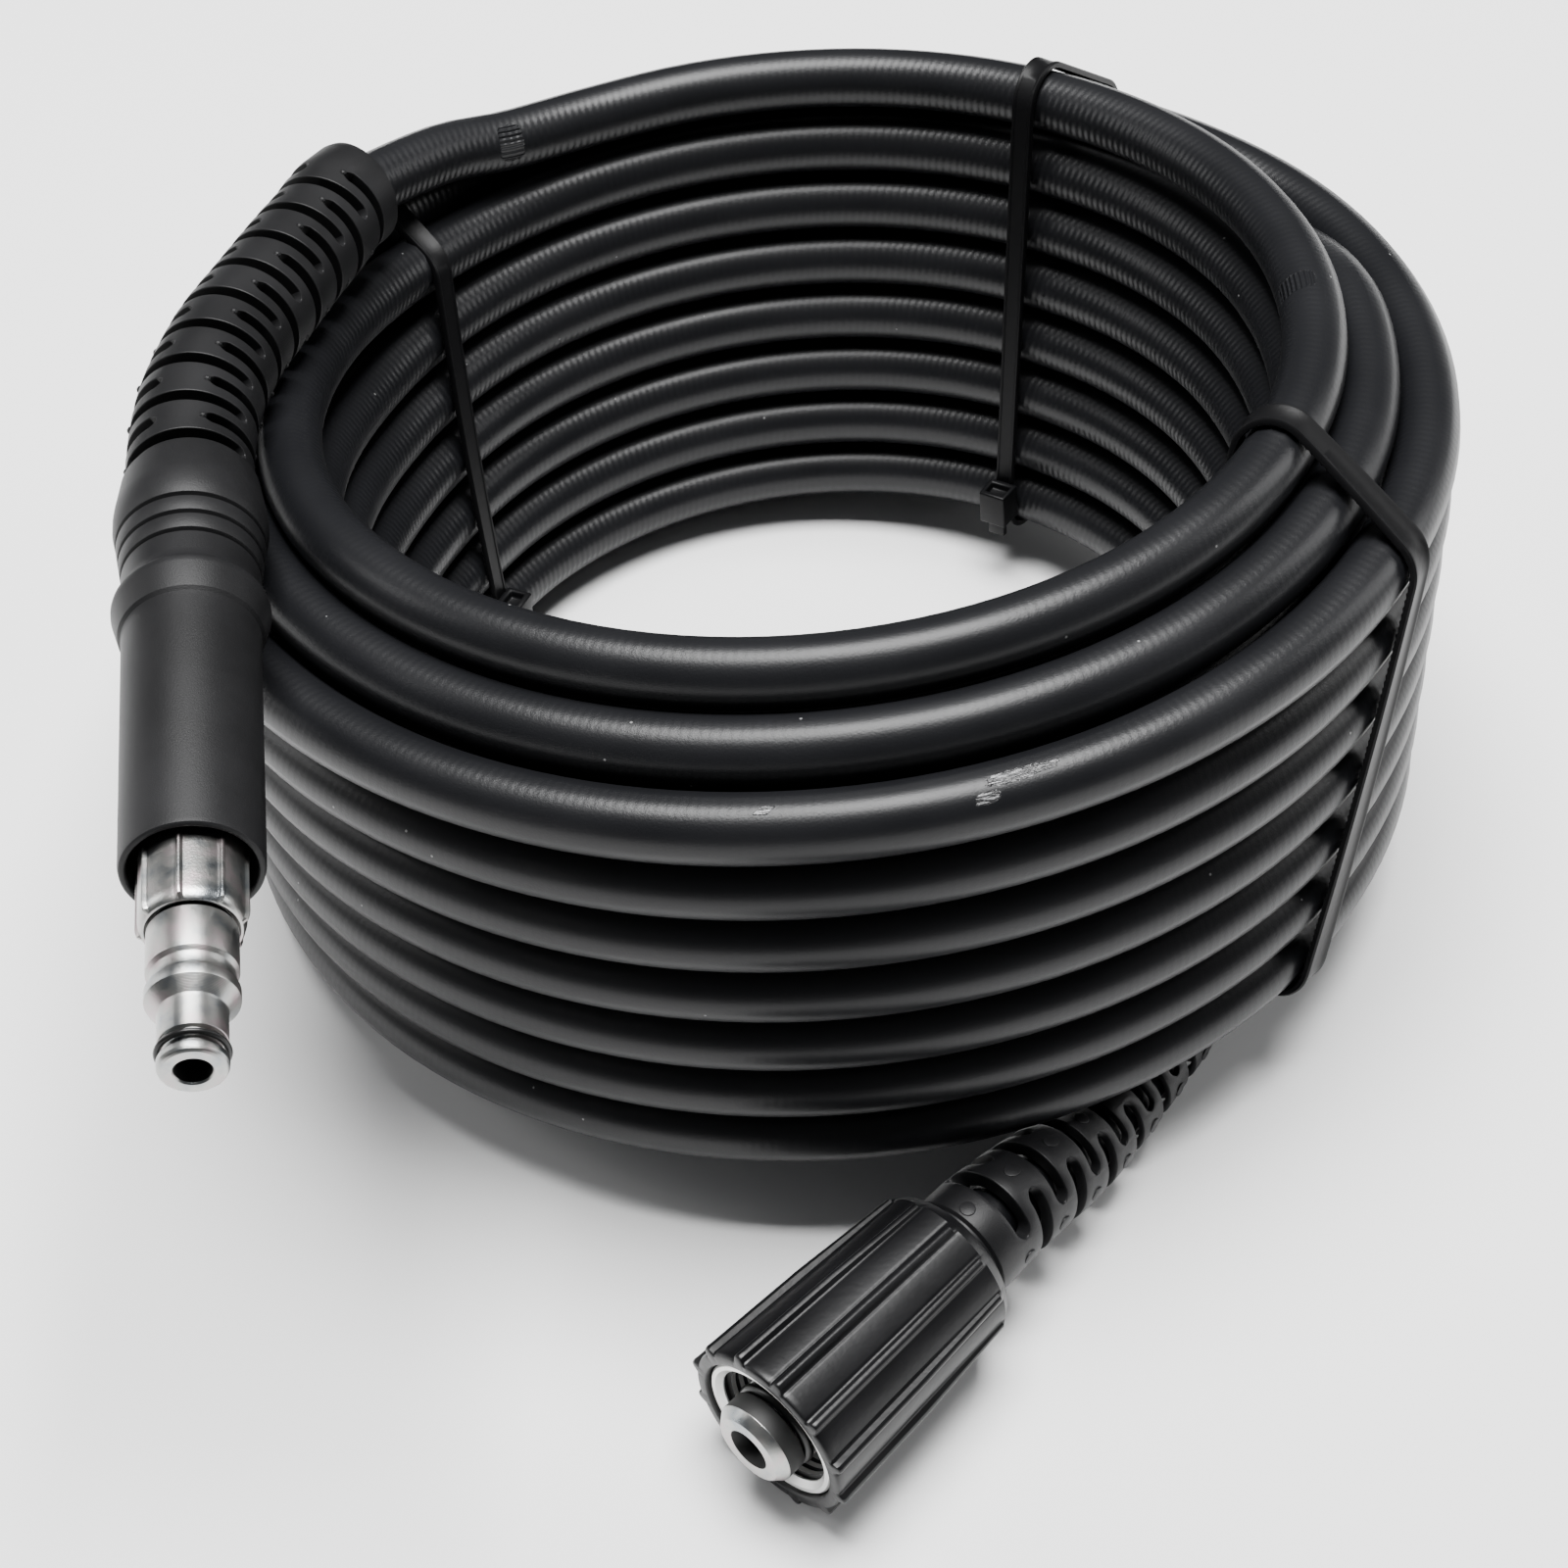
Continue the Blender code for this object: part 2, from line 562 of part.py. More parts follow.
def hose(group, coil, finishes):
    turned("hose_coil", coil_outline(), group, finishes["rubber"], COIL_SEGMENTS, closed=True,
           parent=coil)
    spacing = 1.5 * HOSE_DIAMETER
    route = gun_route()
    total = sum((b - a).length for a, b in zip(route, route[1:]))
    start = FERRULE_HIDDEN + 2 * GAP
    inside = GRIP_LENGTH + COLLAR_LENGTH + GUN_RESTRICTOR_LENGTH + 12 * MM
    stretch = split_route(route, start, inside - start, 7 * MM)
    stretch += split_route(route, inside, total - inside, spacing)[1:]
    add_object("hose_top_turn", poly_curve("hose_top_turn", stretch, HOSE_RADIUS), group,
               finishes["rubber"])

    route = pump_route()
    total = sum((b - a).length for a, b in zip(route, route[1:]))
    start = NIPPLE_LENGTH + GAP + PUMP_FERRULE_LENGTH + GAP - PUMP_RESTRICTOR_AT
    inside = PUMP_RESTRICTOR_LENGTH + 6 * MM
    stretch = split_route(route, start, inside - start, 7 * MM)
    stretch += split_route(route, inside, total - inside, spacing)[1:]
    add_object("hose_pump_lead", poly_curve("hose_pump_lead", stretch, HOSE_RADIUS), group,
               finishes["rubber"])


# Cable ties

def hull_outline(circles, offset):
    """The rounded band around a set of turns, counter-clockwise in (radius, height)."""
    points = []
    count = len(circles)
    for i, centre in enumerate(circles):
        before = Vector(circles[i - 1])
        after = Vector(circles[(i + 1) % count])
        middle = Vector(centre)
        arriving = middle - before
        leaving = after - middle
        start = math.atan2(-arriving.x, arriving.y)
        end = math.atan2(-leaving.x, leaving.y)
        while end < start:
            end += 2 * math.pi
        steps = max(1, math.ceil((end - start) / math.radians(24)))
        for j in range(steps + 1):
            angle = start + (end - start) * j / steps
            points.append((middle.x + (HOSE_RADIUS + offset) * math.cos(angle),
                           middle.y + (HOSE_RADIUS + offset) * math.sin(angle)))
    return points


def band_mesh(name, circles, tools):
    """A flat band: two outlines filled between and raised to the strap's width."""
    data = bpy.data.curves.new(name, "CURVE")
    data.dimensions = "2D"
    data.fill_mode = "BOTH"
    data.extrude = STRAP_WIDTH / 2
    for offset in (STRAP_CLEARANCE, STRAP_CLEARANCE + STRAP_THICKNESS):
        outline = hull_outline(circles, offset)
        line = data.splines.new("POLY")
        line.points.add(len(outline) - 1)
        for point, (radius, height) in zip(line.points, outline):
            point.co = (radius, height, 0, 1)
        line.use_cyclic_u = True
    flat = add_object(name + "_flat", data, tools)
    mesh = evaluated_mesh(flat)
    bpy.data.objects.remove(flat)
    work = bmesh.new()
    work.from_mesh(mesh)
    bmesh.ops.remove_doubles(work, verts=work.verts, dist=0.00001)
    work.to_mesh(mesh)
    work.free()
    return mesh


def cable_tie(name, azimuth, lean, top_circles, head_height, group, tools, coil, finish):
    """A strap round the coil's section, its head low on the inner wall, with a cut tail."""
    circles = [OUTER_LAYER[0], OUTER_LAYER[-1]] + top_circles + [INNER_LAYER[0]]
    band = add_object(name + "_band", band_mesh(name, circles, tools), tools)
    low = Vector(INNER_LAYER[0])
    high = Vector(top_circles[-1])
    share = (head_height - low.y) / (high.y - low.y)
    wall = low.x + (high.x - low.x) * share - HOSE_RADIUS - STRAP_CLEARANCE - 0.4 * MM

    tail_height = head_height - TIE_HEAD.y / 2 - TIE_TAIL / 2 + 1 * MM
    blocks = []
    for part, size, shift in (
            ("head", TIE_HEAD, Vector((wall - TIE_HEAD.x / 2, head_height, 0))),
            ("tail", Vector((STRAP_THICKNESS, TIE_TAIL, STRAP_WIDTH)),
             Vector((wall - TIE_HEAD.x * 0.6, tail_height, 0)))):
        def block(work):
            made = bmesh.ops.create_cube(work, size=1.0)
            place = Matrix.Translation(shift) @ Matrix.Diagonal((*size, 1))
            bmesh.ops.transform(work, matrix=place, verts=made["verts"])
        blocks.append(add_object(name + "_" + part, mesh_from(name + "_" + part, block), tools))
        cut(band, blocks[-1], "UNION")
    mesh = evaluated_mesh(band)
    bpy.data.objects.remove(band)
    for tool in blocks:
        hide_tool(tool)

    middle_height = (OUTER_LAYER[0][1] + OUTER_LAYER[-1][1]) / 2
    middle_radius = (INNER_LAYER[0][0] + OUTER_LAYER[0][0]) / 2
    for vertex in mesh.vertices:
        radius, height, across = vertex.co
        angle = math.radians(azimuth) + lean * (height - middle_height) - across / middle_radius
        vertex.co = (radius * math.cos(angle), radius * math.sin(angle), height)
    mesh.name = name
    add_object(name, mesh, group, finish, parent=coil)


def mouth_azimuth():
    """Where the gun restrictor ends, in degrees round the coil."""
    total = GRIP_LENGTH + COLLAR_LENGTH + GUN_RESTRICTOR_LENGTH
    mouth = COIL_PLACE.inverted() @ split_route(gun_route(), total, MM, MM)[0]
    return math.degrees(math.atan2(mouth.y, mouth.x))


def ties(group, tools, coil, finishes):
    top_turn = (TOP_TURN_RADIUS, TOP_TURN_HEIGHT)
    under_lead = [MIDDLE_TOP, INNER_LAYER[-1]]
    nylon = finishes["nylon"]
    lean = math.radians(1) / MM
    half_height = (OUTER_LAYER[-1][1] - OUTER_LAYER[0][1]) / 2
    left = mouth_azimuth() - TIE_PAST_MOUTH + TIE_SLANT * half_height / MM
    cable_tie("tie_left", left, -TIE_SLANT * lean, under_lead, 10 * MM, group, tools, coil, nylon)
    cable_tie("tie_back", 54.0, 0, [top_turn], 8 * MM, group, tools, coil, nylon)
    cable_tie("tie_right", -40.0, TIE_SLANT * lean, [top_turn], 8 * MM, group, tools, coil, nylon)


def centre_on_footprint(group, root):
    """Moves the root so that the object's box is centred on the origin in plan."""
    bpy.context.view_layer.update()
    low = Vector((math.inf, math.inf))
    high = -low
    for made in group.objects:
        if made.type == "EMPTY":
            continue
        mesh = evaluated_mesh(made)
        for vertex in mesh.vertices:
            place = made.matrix_world @ vertex.co
            low = Vector((min(low.x, place.x), min(low.y, place.y)))
            high = Vector((max(high.x, place.x), max(high.y, place.y)))
        bpy.data.meshes.remove(mesh)
    root.location = (-(low.x + high.x) / 2, -(low.y + high.y) / 2, 0)


def build():
    clear_scene()
    group = collection("pressure_washer_hose")
    tools = collection("cutters_and_guides")
    finishes = {name: material(name) for name in COLOURS}
    root = add_object("hose_root", None, group)
    coil = add_object("coil_frame", None, group, place=COIL_PLACE)
    hose(group, coil, finishes)
    gun_end(group, tools, finishes)
    pump_end(group, tools, finishes)
    ties(group, tools, coil, finishes)
    for made in list(group.objects) + list(tools.objects):
        if made is not root and made.parent is None:
            made.parent = root
    centre_on_footprint(group, root)
    bpy.context.view_layer.update()


build()
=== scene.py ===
"""Pressure washer hose: a tied coil with a quick plug at one end and a screw nut at the other."""
import math

import bmesh
import bpy
from mathutils import Matrix, Vector


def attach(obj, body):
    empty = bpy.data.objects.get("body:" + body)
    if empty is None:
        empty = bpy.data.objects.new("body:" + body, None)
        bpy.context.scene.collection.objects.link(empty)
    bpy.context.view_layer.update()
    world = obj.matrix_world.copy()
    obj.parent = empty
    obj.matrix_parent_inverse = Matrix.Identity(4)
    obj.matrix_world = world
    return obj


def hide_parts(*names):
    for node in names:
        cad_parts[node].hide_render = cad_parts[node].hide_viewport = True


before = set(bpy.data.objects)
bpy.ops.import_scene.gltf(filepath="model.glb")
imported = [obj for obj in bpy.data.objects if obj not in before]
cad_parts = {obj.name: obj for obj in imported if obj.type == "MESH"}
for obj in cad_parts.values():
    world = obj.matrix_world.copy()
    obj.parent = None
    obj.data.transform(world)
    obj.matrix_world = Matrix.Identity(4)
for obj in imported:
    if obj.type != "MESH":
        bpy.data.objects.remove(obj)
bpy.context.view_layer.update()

# Camera
# The photograph was taken from close by, above the front of the coil and looking down into it.
MM = 0.001
camera_data = bpy.data.cameras.new("camera")
camera_data.lens = 63.085
camera_data.sensor_width = 36.0
camera_data.shift_x = -0.01727
camera_data.shift_y = 0.01128
camera_data.clip_start = 0.01
camera = bpy.data.objects.new("camera", camera_data)
camera.location = (-0.019375, -0.344850, 0.387324)
camera.rotation_euler = [math.radians(angle) for angle in (42.94764, 0.81181, -3.90042)]
bpy.context.scene.collection.objects.link(camera)
bpy.context.scene.camera = camera


# Floor and light
# A plain pale floor under one broad overhead light, with weaker ones at the sides.
def new_material(name):
    """A material, its node tree and its surface shader."""
    made = bpy.data.materials.new(name)
    made.use_nodes = True
    return made, made.node_tree, made.node_tree.nodes["Principled BSDF"]


def plain_material(name, colour, roughness, metallic=0.0):
    made, _, surface = new_material(name)
    surface.inputs["Base Color"].default_value = (*colour, 1.0)
    surface.inputs["Roughness"].default_value = roughness
    surface.inputs["Metallic"].default_value = metallic
    return made


bpy.ops.object.select_all(action="DESELECT")
bpy.ops.mesh.primitive_plane_add(size=6.0, location=(0, 0, -0.0002))
floor = bpy.context.object
floor.name = "floor"
floor.data.materials.append(plain_material("floor_paper", (0.86, 0.86, 0.86), 0.9))

world = bpy.data.worlds.new("studio")
world.use_nodes = True
world.node_tree.nodes["Background"].inputs["Color"].default_value = (0.95, 0.97, 1.0, 1.0)
world.node_tree.nodes["Background"].inputs["Strength"].default_value = 0.10
bpy.context.scene.world = world


def softbox(name, place, aim, width, height, power):
    data = bpy.data.lights.new(name, "AREA")
    data.shape = "RECTANGLE"
    data.size = width
    data.size_y = height
    data.energy = power
    lamp = bpy.data.objects.new(name, data)
    lamp.location = place
    lamp.rotation_euler = (Vector(aim) - Vector(place)).to_track_quat("-Z", "Y").to_euler()
    bpy.context.scene.collection.objects.link(lamp)


softbox("overhead", (0.02, 0.16, 1.5), (0.0, 0.0, 0.0), 1.0, 0.75, 84)
softbox("left_side", (-1.2, 0.3, 0.55), (0.0, 0.0, 0.05), 0.3, 0.8, 5)
softbox("right_side", (1.2, 0.25, 0.6), (0.0, 0.0, 0.05), 0.3, 0.8, 6)

# Where the coil lies
# The coil stands on its back left edge. Its front right lies on the end of the hose and on the
# bend restrictor that run out beneath it, which leans the whole coil by five degrees.
HOSE_DIAMETER = 11.0 * MM
HOSE_RADIUS = HOSE_DIAMETER / 2
GAP = 0.3 * MM
PLAN_SHIFT = Vector((3.9807, 24.4198, 0)) * MM
RAISED_SIDE = math.radians(-50)
COIL_LEAN = math.radians(5.0)
HEEL_RADIUS = 104.082 * MM
STRAP_SEAT = 1.6 * MM
raised = Vector((math.cos(RAISED_SIDE), math.sin(RAISED_SIDE), 0))
heel = -raised * HEEL_RADIUS
coil_place = (Matrix.Translation(PLAN_SHIFT + heel + Vector((0, 0, STRAP_SEAT)))
              @ Matrix.Rotation(COIL_LEAN, 4, raised.cross(Vector((0, 0, 1))))
              @ Matrix.Translation(-heel))


def on_coil(radius, azimuth, height):
    """A place in the coil: radius and height, and degrees round it from the right, seen from above."""
    angle = math.radians(azimuth)
    return coil_place @ Vector((radius * math.cos(angle), radius * math.sin(angle), height))


def in_plan(points):
    return [Vector(point) * MM + PLAN_SHIFT for point in points]


# Hose route
# One length of hose. From the gun end it drops onto the coil's top turn, goes down the inner layer,
# up the middle layer and down the outer one, and runs out under the coil to the pump end.
TURNS = 7
TURN_PITCH = 11.785 * MM
LAYER_STEP = 10.2 * MM
INNER_LAYER_RADIUS = 86.4 * MM
INNER_TAPER = 1.77 * MM
OUTER_TAPER = 0.453 * MM
TOP_TURN = (87.6 * MM, 89.41 * MM)
GUN_TIP = in_plan([(-92.4, -147.5, 104.5)])[0]
GUN_AXIS_END = in_plan([(-102.1, -36.0, 104.5)])[0]
PLUG_LENGTH = 23.7 * MM
FERRULE_SHOWN = 11.0 * MM
FERRULE_HIDDEN = 12.5 * MM
GRIP_LENGTH = 46.0 * MM
COLLAR_LENGTH = 36.0 * MM
GUN_RESTRICTOR_LENGTH = 91.5 * MM
NUT_HEADING = math.radians(43.2)
NUT_MOUTH = in_plan([(-20.8, -154.5, 16.2)])[0]
PUMP_RESTRICTOR_AT = 32.0 * MM
PUMP_RESTRICTOR_LENGTH = 100.0 * MM
PUMP_FERRULE_LENGTH = 22.0 * MM
NIPPLE_LENGTH = 26.0 * MM

inner_layer = [(INNER_LAYER_RADIUS - INNER_TAPER * (TURNS - 1 - k), HOSE_RADIUS + TURN_PITCH * k)
               for k in range(TURNS)]
outer_layer = [(INNER_LAYER_RADIUS + 2 * LAYER_STEP - OUTER_TAPER * (TURNS - 1 - k),
                HOSE_RADIUS + TURN_PITCH * k) for k in range(TURNS)]
middle_layer = [((inner_layer[k][0] + outer_layer[k][0]) / 2, HOSE_RADIUS + TURN_PITCH * (k + 0.5))
                for k in range(TURNS)]
middle_layer[0] = (88.6 * MM, middle_layer[0][1])

# Each pass from one turn to the next: where it starts and ends, in degrees wound on from the back
# left, the turns that it joins, and how far it squeezes in past the layer beside it.
passes = [(255, 360, TOP_TURN, inner_layer[6], 1.1 * MM)]
for k in range(6, 0, -1):
    wound = 360 * (7 - k)
    passes.append((wound + 265, wound + 330, inner_layer[k], inner_layer[k - 1], 0.3 * MM))
passes.append((2700, 2780, inner_layer[0], middle_layer[0], 0.0))
for k in range(6):
    passes.append((2960 + 360 * k, 3000 + 360 * k, middle_layer[k], middle_layer[k + 1], 0.0))
passes.append((5094, 5140, middle_layer[6], outer_layer[6], 0.0))
for k in range(6, 1, -1):
    wound = 5370 + 360 * (6 - k)
    passes.append((wound, wound + 136, outer_layer[k], outer_layer[k - 1], -0.3 * MM))
passes.append((7270, 7306, outer_layer[1], outer_layer[0], 0.0))
WINDING_START = 32
WINDING_END = 7530
WINDING_STEP = 12


def wound_place(wound):
    """Where the hose is after so many degrees of winding, clockwise seen from above."""
    radius, height = TOP_TURN
    for start, end, before, after, squeeze in passes:
        if wound < start:
            break
        share = min(1.0, (wound - start) / (end - start))
        eased = share * share * (3 - 2 * share)
        radius = before[0] + (after[0] - before[0]) * eased - squeeze * math.sin(math.pi * share) ** 2
        height = before[1] + (after[1] - before[1]) * eased
    return on_coil(radius, 120 - wound, height)


gun_along = (GUN_AXIS_END - GUN_TIP).normalized()
gun_front = GUN_TIP + gun_along * (PLUG_LENGTH + GAP + FERRULE_SHOWN)
gun_points = [gun_front + gun_along * (GRIP_LENGTH * share) for share in (0, 0.35, 0.7, 1.05)]
gun_points.append(GUN_AXIS_END)
gun_points += in_plan([
    (-103.2, -23.5, 104.5), (-102.8, -9.4, 104.3), (-99.8, 7.1, 103.2), (-95.3, 20.7, 101.9),
    (-90.8, 33.5, 100.8), (-87.1, 42.9, 100.0), (-82.0, 54.3, 99.5)])
# azimuth, and how far out from the top turn and above it, in millimetres
gun_lead = [(134, 1.5, 4.5), (124, 0.3, 1.3), (112, 0, 0), (100, 0, 0)]
gun_points += [on_coil(TOP_TURN[0] + out * MM, azimuth, TOP_TURN[1] + up * MM)
               for azimuth, out, up in gun_lead]

pump_along = Vector((math.cos(NUT_HEADING), math.sin(NUT_HEADING), 0))
pump_points = [NUT_MOUTH + pump_along * (PUMP_RESTRICTOR_AT + share * PUMP_FERRULE_LENGTH)
               for share in (0, 0.35, 0.7, 0.95)]
pump_points += in_plan([
    (25.4, -111.0, 14.3), (33.1, -103.2, 11.2), (40.7, -94.1, 9.2), (47.3, -85.2, 8.3),
    (54.3, -75.8, 7.9), (60.6, -66.6, 7.8), (66.0, -57.0, 7.6), (71.5, -45.0, 6.6),
    (76.2, -30.0, 5.8), (79.0, -12.0, 5.6), (78.8, 4.0, 6.0)])
lower_end = [on_coil(radius * MM, azimuth, height * MM) for radius, azimuth, height in (
    (103.8, 130, 5.5), (103.3, 110, 5.5), (102.0, 90, 5.4), (100.0, 72, 5.3), (97.0, 54, 5.2),
    (92.8, 40, 2.6), (88.0, 28, -1.6))]
winding = [wound_place(wound) for wound in range(WINDING_START, WINDING_END, WINDING_STEP)]


SPLINE_STEPS = 24


def smooth_route(points, spacing):
    """Points at an even spacing along a smooth curve through the route's own points."""
    ends = [2 * points[0] - points[1]] + list(points) + [2 * points[-1] - points[-2]]
    fine = []
    for before, start, finish, after in zip(ends, ends[1:], ends[2:], ends[3:]):
        for i in range(SPLINE_STEPS):
            t = i / SPLINE_STEPS
            fine.append(0.5 * (2 * start + (finish - before) * t
                               + (2 * before - 5 * start + 4 * finish - after) * t ** 2
                               + (3 * start - before - 3 * finish + after) * t ** 3))
    fine.append(points[-1].copy())
    length = sum((b - a).length for a, b in zip(fine, fine[1:]))
    step = length / max(1, round(length / spacing))
    route = [fine[0]]
    walked = 0.0
    for a, b in zip(fine, fine[1:]):
        run = (b - a).length
        while walked + run >= step * len(route) - 1e-9 and run > 0:
            route.append(a.lerp(b, (step * len(route) - walked) / run))
        walked += run
    route[-1] = fine[-1]
    return route


def route_curve(name, route, depth=0.0, resolution=4):
    data = bpy.data.curves.new(name, "CURVE")
    data.dimensions = "3D"
    line = data.splines.new("POLY")
    line.points.add(len(route) - 1)
    for point, place in zip(line.points, route):
        point.co = (*place, 1.0)
    data.twist_mode = "Z_UP"
    data.bevel_depth = depth
    data.bevel_resolution = resolution
    data.use_fill_caps = depth > 0
    made = bpy.data.objects.new(name, data)
    bpy.context.scene.collection.objects.link(made)
    return made


ROUTE_STEP = 4.5 * MM
whole_route = smooth_route(gun_points + winding + lower_end + pump_points[::-1], ROUTE_STEP)
first = math.ceil((FERRULE_HIDDEN + 2 * GAP) / ROUTE_STEP)
last = math.ceil((NIPPLE_LENGTH + PUMP_FERRULE_LENGTH - PUMP_RESTRICTOR_AT + 2 * GAP) / ROUTE_STEP)
hose_route = whole_route[first:len(whole_route) - last]
hose_length = sum((b - a).length for a, b in zip(hose_route, hose_route[1:]))

# Hose
# High-pressure hose, eleven millimetres across: a black rubber cover extruded over textile braid,
# which shows through as fine ripples across the hose.
def only(made):
    """Leaves one object selected and active."""
    bpy.ops.object.select_all(action="DESELECT")
    made.select_set(True)
    bpy.context.view_layer.objects.active = made


hose = route_curve("hose", hose_route, HOSE_RADIUS, 5)
only(hose)
bpy.ops.object.convert(target="MESH")
bpy.ops.object.shade_smooth_by_angle(angle=math.radians(50))
hose_layer = hose.data.uv_layers.active
hose_layer.name = "along_hose"

HOSE_ROUND = math.pi * HOSE_DIAMETER / MM       # millimetres round the hose
hose_spots = {}
for polygon in hose.data.polygons:
    for loop in polygon.loop_indices:
        item = hose_layer.data[loop]
        item.uv = (item.uv[0] * hose_length / MM, item.uv[1] * HOSE_ROUND)
        hose_spots[hose.data.loops[loop].vertex_index] = (item.uv[0], item.uv[1])


# How far each point faces the coil's middle, where the bend squeezes the cover into ripples
inner_side = hose.data.attributes.new("inner_side", "FLOAT", "POINT")
to_coil = coil_place.inverted()
for item, vertex in zip(inner_side.data, hose.data.vertices):
    towards = -(to_coil @ vertex.co).xy.normalized()
    item.value = vertex.normal.xy.dot(towards)


def spot_on_hose(place):
    """The hose's own millimetres, along and round, at the surface point nearest to a place."""
    nearest = min(hose.data.vertices, key=lambda vertex: (vertex.co - place).length_squared)
    return hose_spots[nearest.index]


def add_math(tree, operation, *values):
    node = tree.nodes.new("ShaderNodeMath")
    node.operation = operation
    for socket, value in zip(node.inputs, values):
        if isinstance(value, (int, float)):
            socket.default_value = value
        else:
            tree.links.new(value, socket)
    return node.outputs[0]


def new_group(name, inputs, outputs):
    """An empty node group with named number, vector or colour sockets."""
    tree = bpy.data.node_groups.new(name, "ShaderNodeTree")
    kinds = {"number": "NodeSocketFloat", "vector": "NodeSocketVector", "colour": "NodeSocketColor"}
    for label, kind in inputs:
        tree.interface.new_socket(label, in_out="INPUT", socket_type=kinds[kind])
    for label, kind in outputs:
        tree.interface.new_socket(label, in_out="OUTPUT", socket_type=kinds[kind])
    return tree, tree.nodes.new("NodeGroupInput"), tree.nodes.new("NodeGroupOutput")


def place_group(tree, group, **values):
    node = tree.nodes.new("ShaderNodeGroup")
    node.node_tree = group
    for label, value in values.items():
        socket = node.inputs[label.replace("_", " ")]
        if isinstance(value, bpy.types.NodeSocket):
            tree.links.new(value, socket)
        else:
            socket.default_value = value
    return node


def mix_colour(tree, share, low, high):
    node = tree.nodes.new("ShaderNodeMix")
    node.data_type = "RGBA"
    for socket, value in ((node.inputs[0], share), (node.inputs[6], low), (node.inputs[7], high)):
        if isinstance(value, bpy.types.NodeSocket):
            tree.links.new(value, socket)
        else:
            socket.default_value = value
    return node.outputs[2]


def add_bump(tree, height, distance, normal=None):
    node = tree.nodes.new("ShaderNodeBump")
    node.inputs["Distance"].default_value = distance
    tree.links.new(height, node.inputs["Height"])
    if normal:
        tree.links.new(normal, node.inputs["Normal"])
    return node.outputs["Normal"]


def add_noise(tree, vector, scale, detail=3.0, roughness=0.5):
    node = tree.nodes.new("ShaderNodeTexNoise")
    node.inputs["Scale"].default_value = scale
    node.inputs["Detail"].default_value = detail
    node.inputs["Roughness"].default_value = roughness
    tree.links.new(vector, node.inputs["Vector"])
    return node.outputs["Fac"]


# A mark on the hose: a patch with ragged ends, at a place along and round it
mark_group, mark_in, mark_out = new_group(
    "hose_mark",
    [("Along", "number"), ("Round", "number"), ("Centre Along", "number"), ("Centre Round", "number"),
     ("Half Length", "number"), ("Half Width", "number"), ("Slant", "number"), ("Ragged", "number")],
    [("Mask", "number"), ("Across", "number")])
entry = mark_in.outputs
offset_along = add_math(mark_group, "SUBTRACT", entry["Along"], entry["Centre Along"])
offset_round = add_math(mark_group, "SUBTRACT", entry["Round"], entry["Centre Round"])
offset_round = add_math(mark_group, "WRAP", offset_round, HOSE_ROUND / 2, -HOSE_ROUND / 2)
slanted = add_math(mark_group, "MULTIPLY", offset_round, entry["Slant"])
offset_along = add_math(mark_group, "ADD", offset_along, slanted)
reach_along = add_math(mark_group, "DIVIDE", offset_along, entry["Half Length"])
reach_round = add_math(mark_group, "DIVIDE", offset_round, entry["Half Width"])
square_along = add_math(mark_group, "POWER", add_math(mark_group, "ABSOLUTE", reach_along), 4.0)
square_round = add_math(mark_group, "POWER", add_math(mark_group, "ABSOLUTE", reach_round), 4.0)
reach = add_math(mark_group, "ADD", square_along, square_round)
mark_place = mark_group.nodes.new("ShaderNodeCombineXYZ")
mark_group.links.new(entry["Along"], mark_place.inputs[0])
mark_group.links.new(entry["Round"], mark_place.inputs[1])
ragged = add_noise(mark_group, mark_place.outputs[0], 1.3, 4.0, 0.6)
ragged = add_math(mark_group, "MULTIPLY", add_math(mark_group, "SUBTRACT", ragged, 0.5), entry["Ragged"])
reach = add_math(mark_group, "ADD", reach, ragged)
inside = add_math(mark_group, "SUBTRACT", 1.15, reach)
inside = add_math(mark_group, "MULTIPLY", inside, 4.0)
inside = add_math(mark_group, "MINIMUM", add_math(mark_group, "MAXIMUM", inside, 0.0), 1.0)
mark_group.links.new(inside, mark_out.inputs["Mask"])
mark_group.links.new(offset_round, mark_out.inputs["Across"])

rubber, tree, shader = new_material("hose_cover")
uv_node = tree.nodes.new("ShaderNodeUVMap")
uv_node.uv_map = "along_hose"
split = tree.nodes.new("ShaderNodeSeparateXYZ")
tree.links.new(uv_node.outputs[0], split.inputs[0])
along, round_hose = split.outputs[0], split.outputs[1]

RIPPLE_LENGTH = 1.5
RIPPLE_SLANT = 3
full_turn = 2 * math.pi
phase = add_math(tree, "MULTIPLY", along, full_turn / RIPPLE_LENGTH)
slant = add_math(tree, "MULTIPLY", round_hose, full_turn * RIPPLE_SLANT / HOSE_ROUND)
ripple_one = add_math(tree, "SINE", add_math(tree, "ADD", phase, slant))
ripple_two = add_math(tree, "SINE", add_math(tree, "SUBTRACT", phase, slant))
ripple = add_math(tree, "ADD", ripple_one, add_math(tree, "MULTIPLY", ripple_two, 0.35))
coordinate = tree.nodes.new("ShaderNodeTexCoord").outputs["Object"]
patchy = add_noise(tree, coordinate, 42.0, 2.0)
facing = tree.nodes.new("ShaderNodeAttribute")
facing.attribute_name = "inner_side"
squeezed = add_math(tree, "MAXIMUM", facing.outputs["Fac"], 0.0)
strength = add_math(tree, "ADD", add_math(tree, "MULTIPLY", squeezed, 1.1), 0.2)
strength = add_math(tree, "MULTIPLY", strength, add_math(tree, "ADD", patchy, 0.45))
ripple = add_math(tree, "MULTIPLY", ripple, strength)
grain = add_noise(tree, coordinate, 2600.0, 3.0, 0.6)
cover_normal = add_bump(tree, ripple, 0.000021)
cover_normal = add_bump(tree, grain, 0.00003, cover_normal)

